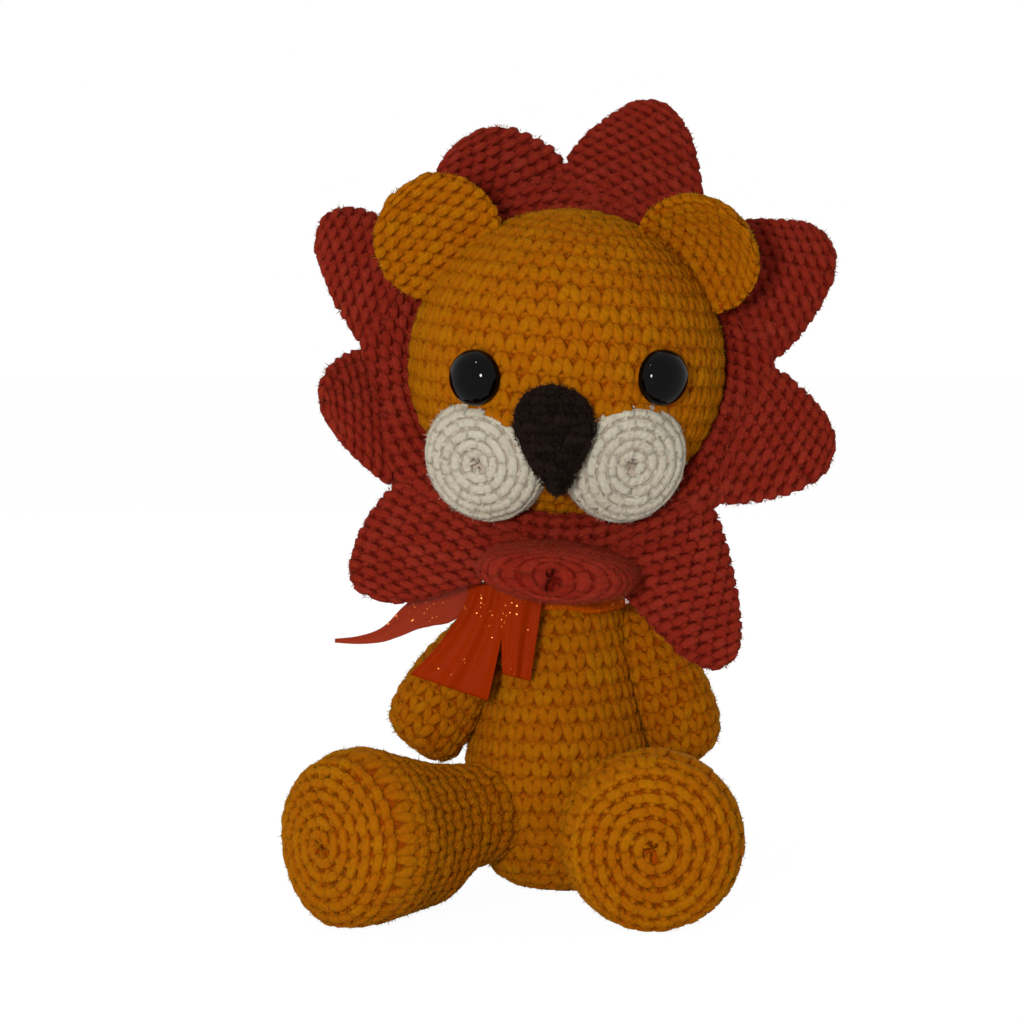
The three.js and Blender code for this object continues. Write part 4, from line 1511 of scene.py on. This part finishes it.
@dataclass
class Mane:
    """The red ring round the face and its nine points."""

    inner: float = 41.2
    outer: float = 53.6
    thickness: float = 6.0
    tilt: float = 25.0
    point_thickness: float = 7.0
    gap: float = 0.3
    behind: float = 5.0
    ring_inset: float = 0.5
    ring_round: float = 0.7
    points: tuple = (
        # Start and tip angle in degrees, reach, forward lean and thickness as shares, rise
        (134.5, 111.5, 1.27, 0.15, 1, 1), (90, 70.4, 1.5, 0, 1, 1.13), (48, 26.8, 1.46, 0, 1, 1),
        (1, -20.8, 1.35, 0, 1, 1), (-45, -63.8, 1.66, -0.055, 1, 1), (-77, -94.2, 1.18, 0.46, 1.7, 1),
        (-106, -129.4, 1.495, 0, 1, 1), (-144.5, -168, 1.185, 0.19, 1, 1.04), (-186, -212.8, 1.43, 0, 1, 1),
    )
    # The folded point's width and thickness as shares, its rise and its tilt in mm
    fold: tuple = (1.53, 1.16, -2.4, 1.3)
    folded: tuple = (
        (0, -0.12), (0.95, -0.12), (1.0, 0), (1.0, 0.3), (0.99, 0.55), (0.92, 0.76), (0.74, 0.91),
        (0.42, 0.98), (0, 1),
    )
    petal: tuple = (
        (0, -0.12), (0.95, -0.12), (0.985, 0), (0.91, 0.25), (0.76, 0.5),
        (0.57, 0.74), (0.42, 0.88), (0.22, 0.97), (0, 1),
    )

    def __post_init__(self) -> None:
        """Works out the mane's own plane, which leans back at the top."""
        lean = math.radians(self.tilt)
        self.across = np.array([1.0, 0.0, 0.0])
        self.up = np.array([0.0, math.sin(lean), math.cos(lean)])
        self.front = np.cross(self.across, self.up)

    def spot(self, radius: float, degrees: float, forward: float = 0.0) -> Points:
        """A point in the mane's plane, or before it.

        Args:
            radius: How far from the head's middle, in mm.
            degrees: The way there, as an angle up from the lion's left.
            forward: How far before the plane, in mm.

        Returns:
            The point.
        """
        angle = math.radians(degrees)
        flat = self.across * math.cos(angle) + self.up * math.sin(angle)
        return HEAD_CENTRE + radius * flat + forward * self.front

    def point(self, index: int) -> Cover:
        """One point of the mane, worked from its tip.

        Args:
            index: Which point, counted from 0.

        Returns:
            The cover.
        """
        start, tip_angle, reach, lean, thick, rise = self.points[index]
        following = (index + 1) % len(self.points)
        end = self.points[following][0] - (0 if following else 360)
        # The roots beside the folded point reach a little way behind it
        end -= self.behind if self.points[following][4] > 1 else 0
        start += self.behind if self.points[index - 1][4] > 1 else 0
        first = self.spot(self.outer * rise, start)
        next_rise = self.points[following][-1]
        last = self.spot(self.outer * next_rise, end)
        tip = self.spot(self.outer * reach, tip_angle, self.outer * lean)
        root = (first + last) / 2
        chord = last - first
        along = tip - root
        half = np.linalg.norm(chord) / 2 - self.gap
        across = chord / np.linalg.norm(chord) * half
        through = np.cross(across, along)
        through *= self.point_thickness * thick / 2 / np.linalg.norm(through)
        if thick > 1:
            across, through = across * self.fold[0], through * self.fold[1]
            across[2] += self.fold[3]
            root = root + [0.0, 0.0, self.fold[2]]
        foot = (max(rise, next_rise) - 1) * self.outer / np.linalg.norm(along)
        shares = [(x, y - foot if y < 0 else y) for x, y in (self.folded if thick > 1 else self.petal)]
        skin = petal_skin(shares, root, np.array([across, along, through]))
        name = f"mane_point_{index + 1}"
        stitch = RidgeStitch(width=3.8, pitch=3.2, plump=1.0, flatness=0.64)
        crochet = Crochet(pitch=3.2, height=0.9, skew=2.5, sink=0.85, stitch=stitch)
        if thick > 1:
            stitch = RidgeStitch(width=4.6, pitch=3.0, plump=1.1, flatness=0.62, leg=EVEN_ROPE)
            crochet = Crochet(pitch=3.0, height=0.75, open_pole=1.3, sink=0.35, jitter=0.02, stitch=stitch)
        return Cover(name, skin, crochet, RED_YARN, (name,), "head", 0.35, 80 + index)

    def ring(self) -> Cover:
        """The band round the face: rows that run right round it.

        Returns:
            The cover.
        """
        angle = round_angles(180)
        section = np.linspace(-math.pi / 2, 1.5 * math.pi, 33)
        middle, half = (self.inner + self.outer) / 2, (self.outer - self.inner) / 2
        rings = []
        for turn in section:
            wide, deep = (
                math.copysign(abs(way) ** self.ring_round, way) for way in (math.cos(turn), math.sin(turn))
            )
            wide = middle - self.ring_inset + (half + self.ring_inset) * wide
            deep = self.thickness / 2 * deep
            flat = np.cos(angle)[:, None] * self.across + np.sin(angle)[:, None] * self.up
            rings.append(HEAD_CENTRE + wide * flat + deep * self.front)
        skin = RingSkin(np.stack(rings))
        stitch = RidgeStitch(width=4.0, pitch=3.4, plump=1.0, flatness=0.64)
        crochet = RingCrochet(pitch=3.4, height=0.9, open_pole=0.0, sink=0.85, stitch=stitch)
        return Cover("mane_ring", skin, crochet, RED_YARN, ("mane_ring",), "head", 0.4, 79)

    def covers(self) -> list[Cover]:
        """The ring and its nine points."""
        return [self.ring(), *[self.point(i) for i in range(len(self.points))]]


class RingSkin(Skin):
    """A skin that closes on itself both ways, as a ring does."""

    def __init__(self, rings: Points) -> None:
        """Takes rings of which the last repeats the first.

        Args:
            rings: Points in mm, one ring a row.
        """
        super().__init__(rings)
        along = np.roll(rings[:-1], -1, axis=0) - np.roll(rings[:-1], 1, axis=0)
        round_ = np.roll(rings[:-1], -1, axis=1) - np.roll(rings[:-1], 1, axis=1)
        centre = rings[:-1].mean(axis=0, keepdims=True)
        normals = outward(np.cross(round_, along), rings[:-1] - centre)
        self.normals = np.concatenate([normals, normals[:1]])


class RingCrochet(Crochet):
    """Rows that run round a ring, whose fabric has no ends."""

    def under(self, skin: Skin) -> tuple[Points, tuple[Points, Points]]:
        """The ring's fabric under the strands.

        Args:
            skin: The ring's surface.

        Returns:
            The vertices, the faces and no three-sided ones.
        """
        inner = (skin.rings - skin.normals * self.sink)[:-1]
        rings, around = inner.shape[:2]
        faces = grid_faces(rings, around) % (rings * around)
        return inner.reshape(-1, 3), (faces, np.zeros((0, 3), int))


@dataclass
class Tail:
    """A short tail behind with a red tuft."""

    radius: float = 3.6
    length: float = 31.0
    pivot: tuple[float, float, float] = (0.0, 21.5, 13.0)
    sideways: float = 11.0
    tuft_radius: float = 6.5
    tuft_length: float = 20.0
    gap: float = 0.3
    # Along its length, how far it has gone sideways and down, as shares
    sideways_shares: tuple = (0, 0.1, 0.45, 1)
    drop_shares: tuple = (0, 0.35, 0.7, 0.75)
    # The higher, the blunter its ends
    blunt: int = 16

    def path(self) -> Points:
        """The tail's line from its root to its end.

        Returns:
            The line's points, in mm.
        """
        drop = self.pivot[2] - self.tuft_radius - self.gap
        knots = [
            np.array(self.pivot) + [-self.sideways * s, self.length * i / 3, -drop * f]
            for i, (s, f) in enumerate(zip(self.sideways_shares, self.drop_shares))
        ]
        return smooth_line(knots, 40)

    def covers(self) -> list[Cover]:
        """The tail and its tuft.

        Returns:
            The two covers.
        """
        line = self.path()
        share = np.linspace(0, 1, len(line))
        thick = self.radius * np.sqrt(np.clip(1 - (2 * share - 1) ** self.blunt, 0, 1))
        work = Crochet(pitch=4.0, height=0.8, stitch=Stitch(width=4.4, pitch=4.0, plump=0.85))
        tail = Cover("tail", Skin(tube(line, thick, 32)), work, YELLOW_YARN, ("tail",), "tail", 0.6, 91)
        onward = Vector(unit(np.gradient(line, axis=0))[-1])
        onward.z = 0
        onward.normalize()
        place = standing(Vector(line[-1]) - onward * self.radius, onward)
        profile = [[r * self.tuft_radius, s * self.tuft_length] for r, s in TUFT_SHARES]
        skin = turned_skin(profile[::-1], place, rows=32, around=48)
        work = Crochet(pitch=3.4, stitch=RidgeStitch(width=4.0, pitch=3.4))
        nodes = ("tail_tuft",)
        tuft = Cover("tail_tuft", skin, work, RED_YARN, nodes, "tail", 0.6, 92, on_floor)
        return [tail, tuft]


@dataclass
class NeckRibbon:
    """The sheer ribbon: a band round the neck, its knot and three ends."""

    band_middle: float = 78.2
    band_height: float = 8.4
    thickness: float = 0.3
    knot_middle: tuple[float, float, float] = (-15.2, -16.6, 77.4)
    knot_size: tuple[float, float, float] = (20.5, 8.0, 7.0)
    knot_turn: float = 22.0
    fold: float = 0.6
    root_rise: float = 0.6
    band_stand_off: float = 1.15
    # Of the band and its edges, each wave's height in mm and how many go round
    band_rough: tuple = (0.1, 17)
    edge_waves: tuple = ((0.5, 3), (0.25, 7))
    pleat_height: float = 0.4
    pleat_turns: float = 2.5

    def sheet(
        self,
        name: str,
        grid: Points,
        rests_on: list[str],
        material: bpy.types.Material,
        closed: bool = False,
    ) -> bpy.types.Object:
        """A thin sheet of ribbon from a grid of points.

        Args:
            name: The piece's and its node's name.
            grid: Points in mm, by row and column.
            rests_on: What it rests on; not used.
            material: The ribbon's material.
            closed: Whether the columns join up.

        Returns:
            The sheet's object.
        """
        rows, columns = grid.shape[:2]
        faces = grid_faces(rows - 1, columns, closed).tolist()
        mesh = bpy.data.meshes.new(name)
        mesh.from_pydata((grid.reshape(-1, 3) * MM).tolist(), [], faces)
        made = new_object(name, mesh)
        bpy.ops.object.select_all(action="DESELECT")
        made.select_set(True)
        bpy.context.view_layer.objects.active = made
        solid = made.modifiers.new("wall", "SOLIDIFY")
        solid.thickness = self.thickness * MM
        solid.offset = 0.0
        bpy.ops.object.modifier_apply(modifier="wall")
        mesh = made.data
        mesh.polygons.foreach_set("use_smooth", np.ones(len(mesh.polygons), bool))
        mesh.materials.append(material)
        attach(made, "torso")
        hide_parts(name)
        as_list(rests_on)
        return made

    def end(
        self,
        start: Points,
        fall: Points,
        root_across: Points,
        end_across: Points,
        waves: float,
        flare: float,
    ) -> Points:
        """The grid of one ribbon end: gathered at the knot, then flaring into uneven folds.

        Args:
            start: The middle of its root.
            fall: The way from its root to its lower edge.
            root_across: The way across it at its root.
            end_across: The way across its lower edge.
            waves: Folds across its width.
            flare: How late it widens.

        Returns:
            The grid, by row and column.
        """
        rows, columns = 36, 54
        grid = np.zeros((rows, columns, 3))
        for i, down in enumerate(np.linspace(0, 1, rows)):
            spread = down**flare
            across = root_across * (1 - spread) + end_across * spread
            run = fall * [spread, down, down]
            front = np.cross(across, fall)
            front /= np.linalg.norm(front)
            for j, side in enumerate(np.linspace(-0.5, 0.5, columns)):
                way = side * waves * FULL_TURN
                ripple = math.cos(way + 0.9 * math.sin(2.4 * down))
                ripple = ripple + 0.45 * math.sin(2.3 * way + 2.5 * down)
                ripple += 0.12 * math.sin(9 * down + 5 * side) * down
                grid[i, j] = start + run + across * side - front * ripple * self.fold * (0.5 + 0.4 * down)
        return grid

    def strip(self, centres: Sequence[Sequence[float]], halves: Sequence[float], depth: float) -> Points:
        """The grid of a strip along a line, upright, curving forward and back across its width.

        Args:
            centres: Points of its middle line, in mm.
            halves: Half its width, from its root to its tip, in mm.
            depth: How far it curves forward and back, in mm.

        Returns:
            The grid, by row and column.
        """
        count = 30
        line = smooth_line(centres, count)
        run = np.gradient(line, axis=0)
        upright = unit(np.cross(run, [0.0, 1.0, 0.0]))
        half = np.interp(np.linspace(0, 1, count), np.linspace(0, 1, len(halves)), halves)
        side = np.linspace(-1, 1, 13)[None, :, None]
        grid = line[:, None] + upright[:, None] * half[:, None, None] * side
        ripple = np.cos(side * math.pi) * half[:, None, None] / max(halves)
        return grid + np.array([0.0, depth, 0.0]) * ripple

    def band(self) -> Points:
        """The grid of the band: a tube round the neck, gathered into soft pleats.

        Returns:
            The grid, by row and column.
        """
        line = smooth_line(body_profile(), 300)
        keep = line[:, 1].argsort()
        angle = round_angles(120)
        rows = []
        for share in np.linspace(0, 1, 26):
            z = self.band_middle + (share - 0.5) * self.band_height
            radius = np.interp(z, line[keep, 1], line[keep, 0]) + self.band_stand_off
            wander = FULL_TURN * self.pleat_turns * share + 0.9 * np.sin(2 * angle)
            pleat = self.pleat_height * np.sin(wander + 0.5 * np.sin(5 * angle))
            rough = radius + pleat + self.band_rough[0] * np.sin(angle * self.band_rough[1] + 9 * share)
            (slow, few), (quick, many) = self.edge_waves
            level = z + slow * np.sin(few * angle + 1.0) + quick * np.sin(many * angle)
            rows.append(np.stack([rough * np.cos(angle), rough * np.sin(angle), level], 1))
        return np.stack(rows)

    def knot(self) -> Points:
        """The grid of the knot: an upright bundle of folds, drawn in at its middle.

        Returns:
            The grid, by row and column.
        """
        wide, deep, high = self.knot_size
        turn = math.radians(self.knot_turn)
        right = np.array([math.cos(turn), -math.sin(turn), 0.0])
        away = np.array([-math.sin(turn), -math.cos(turn), 0.0])
        rows = []
        for up in np.linspace(-0.5, 0.5, 20):
            waist = 0.9 + 0.4 * up**2
            ring = []
            for a in round_angles(72):
                crease = 1 + 0.10 * math.cos(9 * a + 2.0 * up) + 0.05 * math.sin(17 * a + 3 * up)
                spot = right * math.cos(a) * wide / 2 + away * math.sin(a) * crease * deep / 2
                ring.append(self.knot_middle + spot * waist + np.array([0.0, 0.0, up * high]))
            rows.append(ring)
        return np.array(rows)

    def build(self, material: bpy.types.Material, sheer: bpy.types.Material) -> list[bpy.types.Object]:
        """Makes the band, the knot and the ends.

        Args:
            material: The folded ribbon's material.
            sheer: The single layer's material, lighter in part as painted light.

        Returns:
            The five sheets.
        """
        top = self.knot_middle[2] + self.knot_size[2] / 2 + self.root_rise
        wide = self.end(
            np.array([-18.8, -20.4, top]), np.array([-10.2, -2.6, -26.2]),
            np.array([9.6, -2.2, 0.0]), np.array([19.8, -2.6, -6.4]), 1.6, 1.5,
        )
        short = self.end(
            np.array([-10.4, -22.2, top]), np.array([-1.5, -2.2, -23.4]),
            np.array([11.4, 0.6, 0.0]), np.array([7.0, 0.0, -1.9]), 1.2, 1.0,
        )
        leaf = [
            (-22.0, -17.5, 79.2), (-26.2, -18.5, 77.8), (-30.0, -19.0, 75.6), (-34.3, -19.5, 74.8),
            (-38.4, -20.0, 73.0), (-42.5, -20.4, 70.2), (-46.5, -20.6, 68.2), (-52.1, -20.4, 67.1),
            (-58.0, -20.0, 66.9),
        ]
        side = self.strip(leaf, (2.6, 3.6, 4.4, 4.2, 3.2, 2.1, 1.4, 0.9, 0.5), 0.5)
        knot, band = ["ribbon_knot"], ["ribbon_band"]
        return [
            self.sheet("ribbon_band", self.band(), ["body"], sheer, closed=True),
            self.sheet("ribbon_knot", self.knot(), band, material, closed=True),
            self.sheet("ribbon_end_wide", wide, knot, material),
            self.sheet("ribbon_end_short", short, knot, material),
            self.sheet("ribbon_end_side", side, knot, material),
        ]


# Floor, light and camera


class Light(Enum):
    """The studio's lamps: place in mm, size in mm and power in watts."""

    KEY = ((-185.0, -820.0, 215.0), 120.0, 4.6)
    CEILING = ((-330.0, -480.0, 700.0), 44.0, 0.6)
    BACK = ((260.0, 900.0, 420.0), 300.0, 3.6)


def seen_directly(tree: bpy.types.NodeTree) -> bpy.types.NodeSocket:
    """Whether a ray comes from the camera, a gloss or a clear piece, as 0 or 1.

    Args:
        tree: The node tree that gets the nodes.

    Returns:
        The socket that gives it.
    """
    path = add_node(tree, "ShaderNodeLightPath")
    seen = path.outputs["Is Camera Ray"]
    for name in ("Is Glossy Ray", "Is Transmission Ray"):
        seen = add_node(
            tree, "ShaderNodeMath", {0: seen, 1: path.outputs[name]}, operation="MAXIMUM"
        ).outputs[0]
    return seen


@dataclass
class Studio:
    """A plain pale floor, soft light and the photograph's view."""

    distance: float = 750.0
    elevation: float = 5.2
    shift_x: float = -13.0
    shift_up: float = -2.08
    target_z: float = 100.0
    mm_per_pixel: float = 0.26
    frame_pixels: int = 1024
    sensor: float = 36.0
    room_light: float = 0.4
    floor_white: float = 1.04
    floor_share: float = 0.93
    floor_grey: float = 0.9
    floor_size_m: float = 6.0
    floor_depth_mm: float = 0.5

    def build_camera(self) -> None:
        """Sets the camera at the photograph's viewing angle."""
        camera = bpy.data.cameras.new("view")
        camera.sensor_width = self.sensor
        camera.lens = self.sensor * self.distance / (self.mm_per_pixel * self.frame_pixels)
        made = new_object("view", camera)
        rise = math.radians(self.elevation)
        up = Vector((0.0, math.sin(rise), math.cos(rise)))
        back = Vector((0.0, -math.cos(rise), math.sin(rise)))
        spot = Vector((self.shift_x, 0.0, self.target_z)) + back * self.distance + up * self.shift_up
        made.location = spot * MM
        made.rotation_euler = (math.radians(90.0 - self.elevation), 0.0, 0.0)
        bpy.context.scene.camera = made

    def build_lights(self) -> None:
        """Hangs the lamps and sets the world."""
        aim = Vector((0.0, 0.0, self.target_z))
        for light in Light:
            place, size, power = light.value
            lamp = bpy.data.lights.new(light.name.lower(), "AREA")
            lamp.shape = "DISK"
            lamp.size = size * MM
            lamp.energy = power
            made = new_object(light.name.lower(), lamp)
            made.location = Vector(place) * MM
            made.rotation_euler = (aim - Vector(place)).to_track_quat("-Z", "Y").to_euler()
        world = bpy.data.worlds.new("room")
        bpy.context.scene.world = world
        world.use_nodes = True
        tree = world.node_tree
        tree.nodes.clear()
        output = tree.nodes.new("ShaderNodeOutputWorld")
        room = add_node(tree, "ShaderNodeBackground", {"Color": WHITE, "Strength": self.room_light})
        white = add_node(tree, "ShaderNodeBackground", {"Color": WHITE, "Strength": 1.0})
        mix = add_node(
            tree,
            "ShaderNodeMixShader",
            {0: seen_directly(tree), 1: room.outputs[0], 2: white.outputs[0]},
        )
        tree.links.new(mix.outputs[0], output.inputs[0])

    def build_floor(self) -> None:
        """Lays the floor: pale, white to the camera but for a soft shadow."""
        bpy.ops.object.select_all(action="DESELECT")
        bpy.ops.mesh.primitive_plane_add(size=self.floor_size_m, location=(0, 0, -self.floor_depth_mm * MM))
        floor = bpy.context.object
        floor.name = "floor"
        material, tree, output = new_material("pale_paper")
        share = add_node(
            tree, "ShaderNodeMath", {0: seen_directly(tree), 1: self.floor_share}, operation="MULTIPLY"
        )
        paper = add_node(tree, "ShaderNodeBsdfDiffuse", {"Color": (*[self.floor_grey] * 3, 1)})
        white = add_node(tree, "ShaderNodeEmission", {"Color": WHITE, "Strength": self.floor_white})
        mix = add_node(
            tree,
            "ShaderNodeMixShader",
            {0: share.outputs[0], 1: paper.outputs[0], 2: white.outputs[0]},
        )
        tree.links.new(mix.outputs[0], output.inputs[0])
        floor.data.materials.append(material)

    def build(self) -> None:
        """Builds the whole studio."""
        self.build_camera()
        self.build_lights()
        self.build_floor()
        bpy.context.scene.view_settings.view_transform = "Standard"


def dress_washers(material: bpy.types.Material) -> None:
    """Gives the eyes' washers, which stay as the frame has them, their plastic.

    Args:
        material: The washers' plastic.
    """
    for name in ("left_eye_washer", "right_eye_washer"):
        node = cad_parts[name]
        node.data.materials.clear()
        node.data.materials.append(material)


def main() -> None:
    """Builds every piece in order; each cover reports its face count."""
    logging.basicConfig(level=logging.INFO, format="%(name)s: %(message)s")
    Studio().build()
    yarns = (YELLOW_YARN, RED_YARN, CREAM_YARN, BROWN_YARN)
    materials = {yarn.name: yarn.material() for yarn in yarns}
    face = Face()
    for part in (Torso(), Limbs(), face, Mane(), Tail()):
        for cover in part.covers():
            cover.build(materials)
    eye_material = EYE_PLASTIC.material()
    for name, side in (("left_eye", 1), ("right_eye", -1)):
        face.build_eye(name, side, eye_material)
    dress_washers(WASHER_PLASTIC.material())
    NeckRibbon().build(RIBBON_CLOTH.material(), SHEER_CLOTH.material())


if __name__ == "__main__":
    main()
